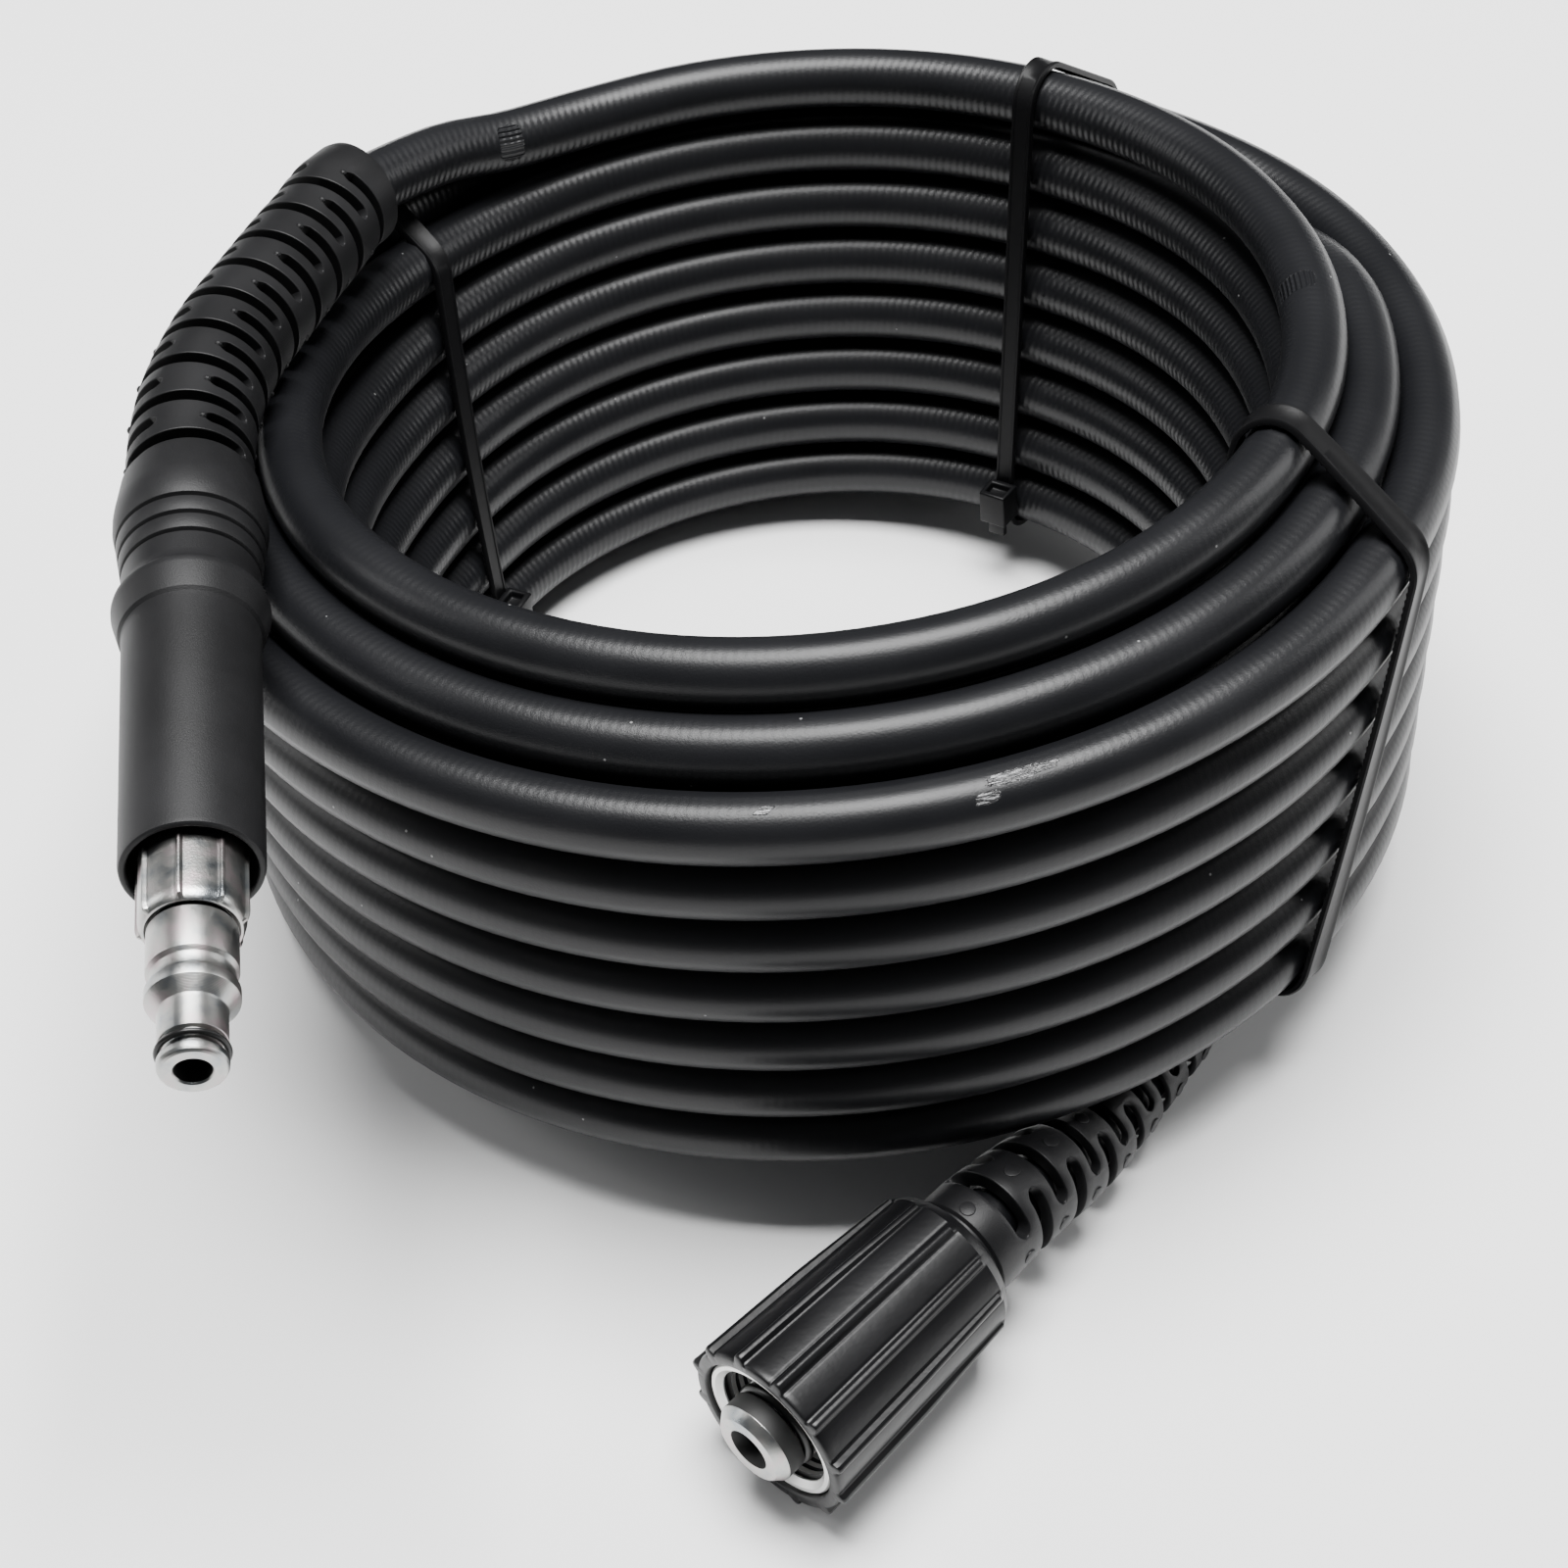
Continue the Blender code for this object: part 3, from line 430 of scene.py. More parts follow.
# Rub marks where the hose was handled, and the combs that tie straps pressed into it. Each is an
# azimuth, radius and height on the coil, a length and a width, and for a rub mark its slant.
RUB_MARKS = [(-76.6, 109.0, 81.0, 7.5, 2.1, 0.5), (-74.6, 108.6, 81.2, 4.5, 1.4, 0.6),
             (-79.6, 109.4, 79.0, 3.6, 1.8, 0.5), (-95.1, 107.6, 81.3, 2.2, 1.5, 0.9)]
RUB_RAGGED = 3.2
STRAP_COMBS = [(-4.5, 85.0, 94.3, 5.0, 8.0), (126.6, 83.5, 93.6, 5.2, 7.0)]
COMB_RAGGED = 1.6
COMB_PITCH = 0.9


def place_mark(azimuth, radius, height, length, width, slant, ragged):
    spot = spot_on_hose(on_coil(radius * MM, azimuth, height * MM))
    return place_group(tree, mark_group, Along=along, Round=round_hose, Centre_Along=spot[0],
                       Centre_Round=spot[1], Half_Length=length / 2, Half_Width=width / 2,
                       Slant=slant, Ragged=ragged)


rubbed = None
for rub_mark in RUB_MARKS:
    mask = place_mark(*rub_mark, RUB_RAGGED).outputs["Mask"]
    rubbed = mask if rubbed is None else add_math(tree, "MAXIMUM", rubbed, mask)
pressed = None
for strap_comb in STRAP_COMBS:
    mark = place_mark(*strap_comb, 0.0, COMB_RAGGED)
    comb = add_math(tree, "MULTIPLY", mark.outputs["Across"], full_turn / COMB_PITCH)
    comb = add_math(tree, "ADD", add_math(tree, "SINE", comb), -1.0)
    comb = add_math(tree, "MULTIPLY", comb, mark.outputs["Mask"])
    pressed = comb if pressed is None else add_math(tree, "ADD", pressed, comb)
scratch_place = tree.nodes.new("ShaderNodeMapping")
scratch_place.inputs["Scale"].default_value = (0.35, 2.4, 1.0)
scratch_place.inputs["Rotation"].default_value = (0, 0, math.radians(24))
tree.links.new(uv_node.outputs[0], scratch_place.inputs["Vector"])
scratches = add_noise(tree, scratch_place.outputs[0], 1.0, 3.0, 0.5)
rub_depth = add_math(tree, "MULTIPLY", rubbed, add_math(tree, "SUBTRACT", scratches, 1.0))
cover_normal = add_bump(tree, pressed, 0.0001, cover_normal)
cover_normal = add_bump(tree, rub_depth, 0.0003, cover_normal)
tree.links.new(cover_normal, shader.inputs["Normal"])

# Specks of dust, and a cover that is a little duller in places
speck = tree.nodes.new("ShaderNodeTexVoronoi")
speck.inputs["Scale"].default_value = 130.0
tree.links.new(coordinate, speck.inputs["Vector"])
speck_mask = add_math(tree, "LESS_THAN", speck.outputs["Distance"], 0.028)
dull = mix_colour(tree, patchy, (0.0036, 0.0038, 0.0045, 1), (0.0078, 0.0080, 0.0092, 1))
nicks = add_math(tree, "MULTIPLY", rubbed, add_math(tree, "GREATER_THAN", scratches, 0.55))
worn = mix_colour(tree, rubbed, dull, (0.022, 0.022, 0.023, 1))
scuffed = mix_colour(tree, nicks, worn, (0.2, 0.2, 0.205, 1))
dusty = mix_colour(tree, speck_mask, scuffed, (0.16, 0.16, 0.16, 1))
shader.inputs["Specular IOR Level"].default_value = 0.26
tree.links.new(dusty, shader.inputs["Base Color"])
gloss = add_math(tree, "ADD", add_math(tree, "MULTIPLY", patchy, 0.10), 0.31)
gloss = add_math(tree, "SUBTRACT", gloss, add_math(tree, "MULTIPLY", rubbed, 0.26))
tree.links.new(gloss, shader.inputs["Roughness"])
hose.data.materials.append(rubber)
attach(hose, "hose")
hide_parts("hose_coil", "hose_top_turn", "hose_pump_lead")


# Gun end sleeve
# One soft black moulding over the hose's end: a smooth grip, a collar with ridges, and a bend
# restrictor whose slots go half round it, each pair turned a quarter from the one before.
def frame_along(origin, direction):
    """A frame at the origin whose Z axis runs along the direction and whose X axis is level."""
    along_axis = direction.normalized()
    side = along_axis.cross(Vector((0, 0, 1))).normalized()
    up = along_axis.cross(side)
    return Matrix.Translation(origin) @ Matrix((side, up, along_axis)).transposed().to_4x4()


def lathe(name, outline, steps):
    """Turns a closed outline of (radius, height) points about the Z axis."""
    bpy.ops.object.select_all(action="DESELECT")
    bpy.ops.mesh.primitive_plane_add(size=MM)
    made = bpy.context.object
    made.name = name
    bpy.ops.object.mode_set(mode="EDIT")
    bpy.ops.mesh.merge(type="CENTER")
    start = Vector((outline[0][0], 0, outline[0][1]))
    bpy.ops.transform.translate(value=start)
    here = start
    for radius, height in outline[1:] + outline[:1]:
        there = Vector((radius, 0, height))
        bpy.ops.mesh.extrude_vertices_move(TRANSFORM_OT_translate={"value": there - here})
        here = there
    bpy.ops.mesh.select_all(action="SELECT")
    bpy.ops.mesh.spin(steps=steps, angle=2 * math.pi, center=(0, 0, 0), axis=(0, 0, 1))
    bpy.ops.mesh.select_all(action="SELECT")
    bpy.ops.mesh.remove_doubles(threshold=0.000005)
    bpy.ops.mesh.normals_make_consistent(inside=False)
    bpy.ops.object.mode_set(mode="OBJECT")
    return made


def mark_along(made):
    """Keeps each point's distance along the piece's own axis, for the finish to use."""
    field = made.data.attributes.new("along_axis", "FLOAT", "POINT")
    for item, vertex in zip(field.data, made.data.vertices):
        item.value = vertex.co.z / MM


def round_edges(made, width, angle=35, segments=2):
    only(made)
    bevel = made.modifiers.new("rounding", "BEVEL")
    bevel.width = width
    bevel.segments = segments
    bevel.limit_method = "ANGLE"
    bevel.angle_limit = math.radians(angle)
    bevel.use_clamp_overlap = True
    bpy.ops.object.modifier_apply(modifier="rounding")


def join_to(made, others):
    bpy.ops.object.select_all(action="DESELECT")
    for piece in [made, *others]:
        piece.select_set(True)
    bpy.context.view_layer.objects.active = made
    bpy.ops.object.join()


def settle(made, place, smooth=38):
    """Puts the piece in its place and keeps the place in its mesh."""
    only(made)
    made.matrix_world = place @ made.matrix_world
    bpy.ops.object.transform_apply(location=True, rotation=True, scale=True)
    bpy.ops.object.shade_smooth_by_angle(angle=math.radians(smooth))


def turn_between(point, azimuth):
    """The angle from an azimuth to a point, seen along the axis, within half a turn."""
    return (math.atan2(point.y, point.x) - azimuth + math.pi) % (2 * math.pi) - math.pi


def open_slots(made, bore, levels, width, columns, span_columns, corner):
    """Cuts pairs of facing slots through a turned wall: a level is its low edge, and the pairs
    alternate. The faces of a slot go, outside and inside, and walls join their rims. The corner
    values round a slot's ends: how far each column's points rise, in half widths."""
    work = bmesh.new()
    work.from_mesh(made.data)
    pitch = 2 * math.pi / columns
    reach = span_columns / 2 * pitch
    bore_limit = bore * 1.08
    for number, low in enumerate(levels):
        for side in (0, 1):
            middle = math.pi * side + math.pi / 2 * ((number + 1) % 2)
            slot_faces = []
            for face in work.faces:
                centre = face.calc_center_median()
                in_level = low < centre.z < low + width and abs(face.normal.z) <= 0.7
                if in_level and abs(turn_between(centre, middle)) < reach:
                    slot_faces.append(face)
            rims = [edge for face in slot_faces for edge in face.edges
                    if sum(other in slot_faces for other in edge.link_faces) == 1]
            outer_edges = [edge for edge in rims if edge.verts[0].co.xy.length > bore_limit]
            inner_points = {vertex for edge in rims for vertex in edge.verts
                            if vertex.co.xy.length <= bore_limit}
            pairs = dict.fromkeys(vertex for edge in outer_edges for vertex in edge.verts)
            for vertex in pairs:
                azimuth = math.atan2(vertex.co.y, vertex.co.x)
                pairs[vertex] = min(inner_points, key=lambda other: abs(other.co.z - vertex.co.z)
                                    + abs(turn_between(other.co, azimuth)) * bore)
            bmesh.ops.delete(work, geom=slot_faces, context="FACES_ONLY")
            for edge in outer_edges:
                first_point, second_point = edge.verts
                work.faces.new((first_point, second_point, pairs[second_point], pairs[first_point]))
            for vertex, partner in pairs.items():
                columns_in = (reach - abs(turn_between(vertex.co, middle))) / pitch
                if columns_in < len(corner) - 0.5:
                    rise = corner[round(max(0, columns_in))] * width / 2
                    shift = rise if vertex.co.z < low + width / 2 else -rise
                    vertex.co.z += shift
                    partner.co.z += shift
    loose = [edge for edge in work.edges if not edge.link_faces]
    bmesh.ops.delete(work, geom=loose, context="EDGES")
    bmesh.ops.recalc_face_normals(work, faces=work.faces)
    work.to_mesh(made.data)
    work.free()


SPINE_STEP = 0.5 * MM


def bend_on_route(made, points, total):
    """Bends a straight piece along the hose's route, which then runs through its bore."""
    fine = smooth_route(points, SPINE_STEP)
    last_point = round((total + 4 * MM) / SPINE_STEP)
    count = round(last_point / 6)
    stops = [fine[round(last_point * i / count)] for i in range(count + 1)]
    spine = route_curve(made.name + "_spine", stops)
    only(made)
    bend = made.modifiers.new("bend", "CURVE")
    bend.object = spine
    bend.deform_axis = "POS_Z"
    bpy.ops.object.modifier_apply(modifier="bend")
    bpy.data.objects.remove(spine)


# Soft moulding: a fine matt grain and a faint bloom
soft_group, soft_in, soft_out = new_group(
    "moulded_grain", [("Place", "vector"), ("Grain Size", "number"), ("Bloom", "number")],
    [("Colour Share", "number"), ("Height", "number"), ("Roughness Shift", "number")])
fine_noise = soft_group.nodes.new("ShaderNodeTexNoise")
fine_noise.inputs["Detail"].default_value = 4.0
soft_group.links.new(soft_in.outputs["Place"], fine_noise.inputs["Vector"])
soft_group.links.new(soft_in.outputs["Grain Size"], fine_noise.inputs["Scale"])
bloom_noise = add_noise(soft_group, soft_in.outputs["Place"], 55.0, 4.0, 0.6)
bloom_share = add_math(soft_group, "MULTIPLY", add_math(
    soft_group, "MAXIMUM", add_math(soft_group, "SUBTRACT", bloom_noise, 0.42), 0.0), 3.0)
bloom_share = add_math(soft_group, "MULTIPLY", bloom_share, soft_in.outputs["Bloom"])
soft_group.links.new(bloom_share, soft_out.inputs["Colour Share"])
soft_group.links.new(fine_noise.outputs["Fac"], soft_out.inputs["Height"])
roughness_shift = add_math(soft_group, "MULTIPLY", bloom_noise, 0.12)
soft_group.links.new(roughness_shift, soft_out.inputs["Roughness Shift"])


def moulded_material(name, dark, pale, roughness, grain_size, depth, bloom, shine=0.3):
    made, nodes, surface = new_material(name)
    surface.inputs["Specular IOR Level"].default_value = shine
    place = nodes.nodes.new("ShaderNodeTexCoord").outputs["Object"]
    parts = place_group(nodes, soft_group, Place=place, Grain_Size=grain_size, Bloom=bloom)
    colour = mix_colour(nodes, parts.outputs["Colour Share"], (*dark, 1), (*pale, 1))
    nodes.links.new(colour, surface.inputs["Base Color"])
    nodes.links.new(add_bump(nodes, parts.outputs["Height"], depth), surface.inputs["Normal"])
    nodes.links.new(add_math(nodes, "ADD", parts.outputs["Roughness Shift"], roughness - 0.06),
                    surface.inputs["Roughness"])
    return made


soft_moulding = moulded_material("soft_moulding", (0.0052, 0.0052, 0.0056), (0.013, 0.013, 0.014),
                                 0.47, 5200.0, 0.00004, 0.5, 0.2)

GRIP_RADIUS = 10.3 * MM
COLLAR_RADIUS = 11.9 * MM
SLEEVE_RADIUS = 10.1 * MM
MOUTH_RADIUS = 9.7 * MM
FERRULE_RADIUS = 7.4 * MM
FERRULE_RIB = 0.5 * MM
GUN_LEVELS = 18
GUN_LEVEL_STEP = 4.78 * MM
GUN_SLOT_WIDTH = 2.4 * MM
COUNTERBORE = 9.0 * MM
SLEEVE_COLUMNS = 96
sleeve_bore = HOSE_RADIUS + 0.8 * MM
sleeve_total = GRIP_LENGTH + COLLAR_LENGTH + GUN_RESTRICTOR_LENGTH
collar_end = GRIP_LENGTH + COLLAR_LENGTH
socket = FERRULE_RADIUS + FERRULE_RIB + GAP
socket_end = FERRULE_HIDDEN + 2 * GAP
gun_levels = [collar_end + 0.4 * MM + level * GUN_LEVEL_STEP for level in range(GUN_LEVELS)]
slot_rows = [edge for low in gun_levels for edge in (low, low + GUN_SLOT_WIDTH)]


def restrictor_radius(height):
    share = (height - collar_end) / GUN_RESTRICTOR_LENGTH
    return SLEEVE_RADIUS + (MOUTH_RADIUS - SLEEVE_RADIUS) * share


outside = [(sleeve_bore + 0.5 * MM, sleeve_total), (MOUTH_RADIUS - 1.0 * MM, sleeve_total),
           (MOUTH_RADIUS - 0.2 * MM, sleeve_total - 0.7 * MM), (MOUTH_RADIUS, sleeve_total - 1.8 * MM),
           (MOUTH_RADIUS, sleeve_total - 6.0 * MM)]
outside += [(restrictor_radius(height), height) for height in reversed(slot_rows)]
outside += [(SLEEVE_RADIUS + out * MM, collar_end - below * MM) for out, below in ((0.1, 0.4), (0.75, 1.2))]
collar_shape = [(-0.15, 7.6), (0, 9.2), (0, 11.6)]
for groove in range(3):
    at = 14.6 + 3.6 * groove
    fall = 0.4 + 0.42 * groove
    collar_shape += [(-fall, at - 0.4), (-fall - 0.8, at - 0.2), (-fall - 0.8, at + 0.15),
                     (-fall - 0.1, at + 0.4)]
collar_shape += [(-1.7, 25.5), (-1.3, 27.4), (-0.1, 29.2), (0, 29.7), (-0.05, 30.5)]
outside += [(COLLAR_RADIUS + out * MM, collar_end - below * MM) for out, below in collar_shape]
outside += [
    (GRIP_RADIUS + 0.55 * MM, collar_end - 34.8 * MM), (GRIP_RADIUS + 0.1 * MM, collar_end - 35.4 * MM),
    (GRIP_RADIUS, GRIP_LENGTH - 1.0 * MM), (GRIP_RADIUS - 0.15 * MM, 1.0 * MM),
    (GRIP_RADIUS - 0.3 * MM, 0.3 * MM), (GRIP_RADIUS - 0.6 * MM, 0)]
inside_wall = [(COUNTERBORE + 0.2 * MM, 0), (COUNTERBORE, 0.4 * MM), (COUNTERBORE, 7 * MM),
               (socket, 8 * MM), (socket, socket_end), (sleeve_bore, socket_end),
               (sleeve_bore, GRIP_LENGTH), (sleeve_bore, collar_end)]
inside_wall += [(sleeve_bore, height) for height in slot_rows]
inside_wall += [(sleeve_bore, sleeve_total - 2.0 * MM)]

gun_sleeve = lathe("gun_end_sleeve_moulding", outside + inside_wall, SLEEVE_COLUMNS)
open_slots(gun_sleeve, sleeve_bore, gun_levels, GUN_SLOT_WIDTH, SLEEVE_COLUMNS, 36, (0.62, 0.22))
round_edges(gun_sleeve, 0.26 * MM, 40)

# A small nib stands at each slot's end along the mould's parting line
NIB_TURN = math.radians(69.5)
nibs = []
for level, low in enumerate(gun_levels):
    for side in (0, 1):
        middle = math.pi * side + math.pi / 2 * ((level + 1) % 2)
        angle = middle - NIB_TURN
        radius = restrictor_radius(low) - 0.3 * MM
        bpy.ops.object.select_all(action="DESELECT")
        bpy.ops.mesh.primitive_uv_sphere_add(segments=10, ring_count=6, radius=0.7 * MM, location=(
            radius * math.cos(angle), radius * math.sin(angle), low + GUN_SLOT_WIDTH / 2))
        nibs.append(bpy.context.object)
join_to(gun_sleeve, nibs)
bend_on_route(gun_sleeve, gun_points + winding[:22], sleeve_total)
gun_sleeve.data.materials.append(soft_moulding)
settle(gun_sleeve, Matrix.Identity(4), 21)
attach(gun_sleeve, "hose")
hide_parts("gun_end_sleeve")

# Gun end ferrule and quick plug
# Turned steel, bright zinc plated. The ferrule is crimped over the hose in a die that leaves
# ridges along it; the plug has a catch groove, a shoulder cone, and a nose behind an O-ring.
plate_group, plate_in, plate_out = new_group(
    "zinc_plating", [("Place", "vector"), ("Along", "number"), ("Turning", "number")],
    [("Tint", "colour"), ("Roughness", "number"), ("Height", "number")])
cloud = add_noise(plate_group, plate_in.outputs["Place"], 260.0, 3.0, 0.55)
tint = plate_group.nodes.new("ShaderNodeValToRGB")
tint.color_ramp.elements[0].position = 0.3
tint.color_ramp.elements[0].color = (0.27, 0.29, 0.305, 1)
tint.color_ramp.elements[1].position = 0.72
tint.color_ramp.elements[1].color = (0.44, 0.36, 0.375, 1)
middle_tint = tint.color_ramp.elements.new(0.5)
middle_tint.color = (0.39, 0.39, 0.375, 1)
plate_group.links.new(cloud, tint.inputs["Fac"])
plate_group.links.new(tint.outputs["Color"], plate_out.inputs["Tint"])
turning = add_math(plate_group, "SINE", add_math(plate_group, "MULTIPLY", plate_in.outputs["Along"], 42.0))
turning = add_math(plate_group, "MULTIPLY", turning, plate_in.outputs["Turning"])
pits = add_noise(plate_group, plate_in.outputs["Place"], 2400.0, 3.0, 0.6)
plate_group.links.new(add_math(plate_group, "ADD", turning, pits), plate_out.inputs["Height"])
plate_rough = add_math(plate_group, "ADD", add_math(plate_group, "MULTIPLY", cloud, 0.24), 0.20)
plate_group.links.new(plate_rough, plate_out.inputs["Roughness"])


def plated_material(name, turning_share, depth):
    made, nodes, surface = new_material(name)
    surface.inputs["Metallic"].default_value = 1.0
    place = nodes.nodes.new("ShaderNodeTexCoord").outputs["Object"]
    distance = nodes.nodes.new("ShaderNodeAttribute")
    distance.attribute_name = "along_axis"
    parts = place_group(nodes, plate_group, Place=place, Along=distance.outputs["Fac"],
                        Turning=turning_share)
    nodes.links.new(parts.outputs["Tint"], surface.inputs["Base Color"])
    nodes.links.new(parts.outputs["Roughness"], surface.inputs["Roughness"])
    nodes.links.new(add_bump(nodes, parts.outputs["Height"], depth), surface.inputs["Normal"])
    return made


turned_zinc = plated_material("turned_zinc", 0.35, 0.000012)
crimped_zinc = plated_material("crimped_zinc", 0.0, 0.00003)

FERRULE_RIBS = 8
FERRULE_FLAT = 0.04 * MM
RIB_COLUMNS = 18
FIRST_RIB = 2
ferrule_length = FERRULE_SHOWN + FERRULE_HIDDEN
ferrule = lathe("gun_ferrule_crimped", [
    (5.7 * MM, ferrule_length), (FERRULE_RADIUS, ferrule_length), (FERRULE_RADIUS, 9.0 * MM),
    (FERRULE_RADIUS, 2.2 * MM), (FERRULE_RADIUS - 0.05 * MM, 1.5 * MM),
    (FERRULE_RADIUS - 0.25 * MM, 0.7 * MM), (FERRULE_RADIUS - 0.6 * MM, 0.1 * MM),
    (6.45 * MM, 0), (6.3 * MM, 0.5 * MM), (5.7 * MM, 0.6 * MM)],
    FERRULE_RIBS * RIB_COLUMNS)
for vertex in ferrule.data.vertices:
    column = round(math.atan2(vertex.co.y, vertex.co.x) / (2 * math.pi) * FERRULE_RIBS * RIB_COLUMNS)
    across = (column + FIRST_RIB) % RIB_COLUMNS
    radius = vertex.co.xy.length
    if radius > FERRULE_RADIUS - 0.3 * MM:
        sunk = FERRULE_FLAT * math.sin(math.pi * across / RIB_COLUMNS)
        grown = 1 + ((FERRULE_RIB if across in (0, 1) else 0.0) - sunk) / radius
        vertex.co.x *= grown
        vertex.co.y *= grown
mark_along(ferrule)
round_edges(ferrule, 0.08 * MM, 40)
ferrule.data.materials.append(crimped_zinc)
settle(ferrule, frame_along(gun_front - gun_along * FERRULE_SHOWN, gun_along), 16)
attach(ferrule, "hose")
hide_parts("gun_ferrule")

# A plain black finish for bores and thread grooves: painted shade where the metal sits deep in shadow.
painted_recess_shade = plain_material("painted_recess_shade", (0.004, 0.004, 0.004), 0.6)


def paint_bore_shade(made, radius):
    """Paints shade into the bore: its walls get the plain black finish, a painted shade."""
    made.data.materials.append(painted_recess_shade)
    for polygon in made.data.polygons:
        inside = polygon.center.xy.length < radius + 0.02 * MM and abs(polygon.normal.z) < 0.4
        polygon.material_index = 1 if inside else 0


def in_millimetres(outline):
    return [(radius * MM, height * MM) for radius, height in outline]


plug_end = PLUG_LENGTH / MM
PLUG_BORE = 2.5
plug = lathe("quick_plug_turned", in_millimetres([
    (6.1, plug_end), (6.25, plug_end - 0.2), (6.25, 16.5), (5.75, 15.9), (5.6, 15.2), (5.6, 14.2),
    (5.8, 13.8), (6.4, 13.3), (6.4, 11.6), (4.75, 9.6), (4.7, 9.2), (4.7, 4.4), (3.9, 4.3), (3.9, 1.8),
    (4.75, 1.7), (4.8, 1.3), (4.75, 0.75), (4.55, 0.3), (4.1, 0), (PLUG_BORE + 0.25, 0), (PLUG_BORE, 0.3),
    (PLUG_BORE, plug_end)]), 96)
mark_along(plug)
round_edges(plug, 0.1 * MM, 25)
plug.data.materials.append(turned_zinc)
# The plug's bore gets painted shade.
paint_bore_shade(plug, PLUG_BORE * MM)
plug_place = frame_along(GUN_TIP, gun_along)
settle(plug, plug_place, 16)
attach(plug, "hose")
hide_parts("quick_plug")

# O-rings
# Plain black nitrile rings, one in the plug's seal groove and one in the nipple's.
seal_rubber = moulded_material("seal_rubber", (0.006, 0.006, 0.006), (0.012, 0.012, 0.012),
                               0.3, 3000.0, 0.00001, 0.3)


def seal_ring(name, outer, inner, height, place, node, body):
    bpy.ops.object.select_all(action="DESELECT")
    bpy.ops.mesh.primitive_torus_add(major_radius=(outer + inner) / 2, minor_radius=(outer - inner) / 2,
                                     major_segments=64, minor_segments=20, location=(0, 0, height))
    made = bpy.context.object
    made.name = name
    # A moulding flash line runs round the outside
    for vertex in made.data.vertices:
        if vertex.co.xy.length > outer - 0.005 * MM and abs(vertex.co.z) < 0.02 * MM:
            vertex.co.x *= 1.004
            vertex.co.y *= 1.004
    made.data.materials.append(seal_rubber)
    settle(made, place)
    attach(made, body)
    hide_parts(node)


seal_ring("plug_seal", 5.1 * MM, 4.2 * MM, 3.05 * MM, plug_place, "plug_o_ring", "hose")

# Pump end restrictor
# Soft black moulding over the hose and its ferrule. Its windows alternate as in the gun end's,
# wider and with rounded ends, and the webs between them carry small moulded dots.
PUMP_RADIUS = 9.5 * MM
PUMP_END_RADIUS = 7.5 * MM
PUMP_FERRULE_RADIUS = 7.7 * MM
PUMP_LEVELS = 15
PUMP_LEVEL_STEP = 4.75 * MM
PUMP_SLOT_WIDTH = 2.7 * MM
pump_socket = PUMP_FERRULE_RADIUS + GAP
pump_socket_end = NIPPLE_LENGTH + GAP + PUMP_FERRULE_LENGTH + GAP - PUMP_RESTRICTOR_AT
pump_levels = [18.0 * MM + level * PUMP_LEVEL_STEP for level in range(PUMP_LEVELS)]
pump_rows = [edge for low in pump_levels for edge in (low, low + PUMP_SLOT_WIDTH)]


def pump_radius(height):
    share = min(1.0, max(0.0, (height - 16 * MM) / (0.55 * PUMP_RESTRICTOR_LENGTH - 16 * MM)))
    return PUMP_RADIUS + (PUMP_END_RADIUS - PUMP_RADIUS) * share


pump_outside = [(sleeve_bore + 0.1 * MM, PUMP_RESTRICTOR_LENGTH),
                (PUMP_END_RADIUS - 0.5 * MM, PUMP_RESTRICTOR_LENGTH),
                (PUMP_END_RADIUS, PUMP_RESTRICTOR_LENGTH - 0.8 * MM)]
pump_outside += [(pump_radius(height), height) for height in reversed(pump_rows)]
pump_outside += [(PUMP_RADIUS, 17.2 * MM), (PUMP_RADIUS, 12.9 * MM), (PUMP_RADIUS - 0.7 * MM, 12.5 * MM),
                 (PUMP_RADIUS - 0.7 * MM, 11.6 * MM), (PUMP_RADIUS, 11.2 * MM), (PUMP_RADIUS, 0),
                 (pump_socket, 0), (pump_socket, pump_socket_end), (sleeve_bore, pump_socket_end)]
pump_outside += [(sleeve_bore, height) for height in pump_rows]
pump_sleeve = lathe("pump_restrictor_moulding", pump_outside, SLEEVE_COLUMNS)
open_slots(pump_sleeve, sleeve_bore, pump_levels, PUMP_SLOT_WIDTH, SLEEVE_COLUMNS, 34, (0.72, 0.34, 0.1))
round_edges(pump_sleeve, 0.25 * MM, 40)

dots = []
for level in range(-1, PUMP_LEVELS):
    low = pump_levels[0] + level * PUMP_LEVEL_STEP
    for side in (0, 1):
        angle = math.pi * side + math.pi / 2 * (level % 2)
        height = low + PUMP_SLOT_WIDTH / 2
        radius = pump_radius(height) - 0.05 * MM
        bpy.ops.object.select_all(action="DESELECT")
        bpy.ops.mesh.primitive_cylinder_add(vertices=20, radius=1.35 * MM, depth=0.5 * MM)
        dot = bpy.context.object
        bevel = dot.modifiers.new("rounding", "BEVEL")
        bevel.width = 0.18 * MM
        bevel.segments = 2
        bpy.ops.object.modifier_apply(modifier="rounding")
        dot.matrix_world = Matrix.Rotation(angle, 4, "Z") @ Matrix.Translation(
            (radius, 0, height)) @ Matrix.Rotation(math.pi / 2, 4, "Y")
        dots.append(dot)
join_to(pump_sleeve, dots)
bend_on_route(pump_sleeve, pump_points + lower_end[::-1], PUMP_RESTRICTOR_LENGTH)
pump_sleeve.data.materials.append(moulded_material(
    "firm_moulding", (0.0045, 0.0045, 0.005), (0.014, 0.014, 0.015), 0.42, 4200.0, 0.00003, 0.7, 0.22))
settle(pump_sleeve, Matrix.Identity(4), 25)
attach(pump_sleeve, "hose")
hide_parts("pump_restrictor")

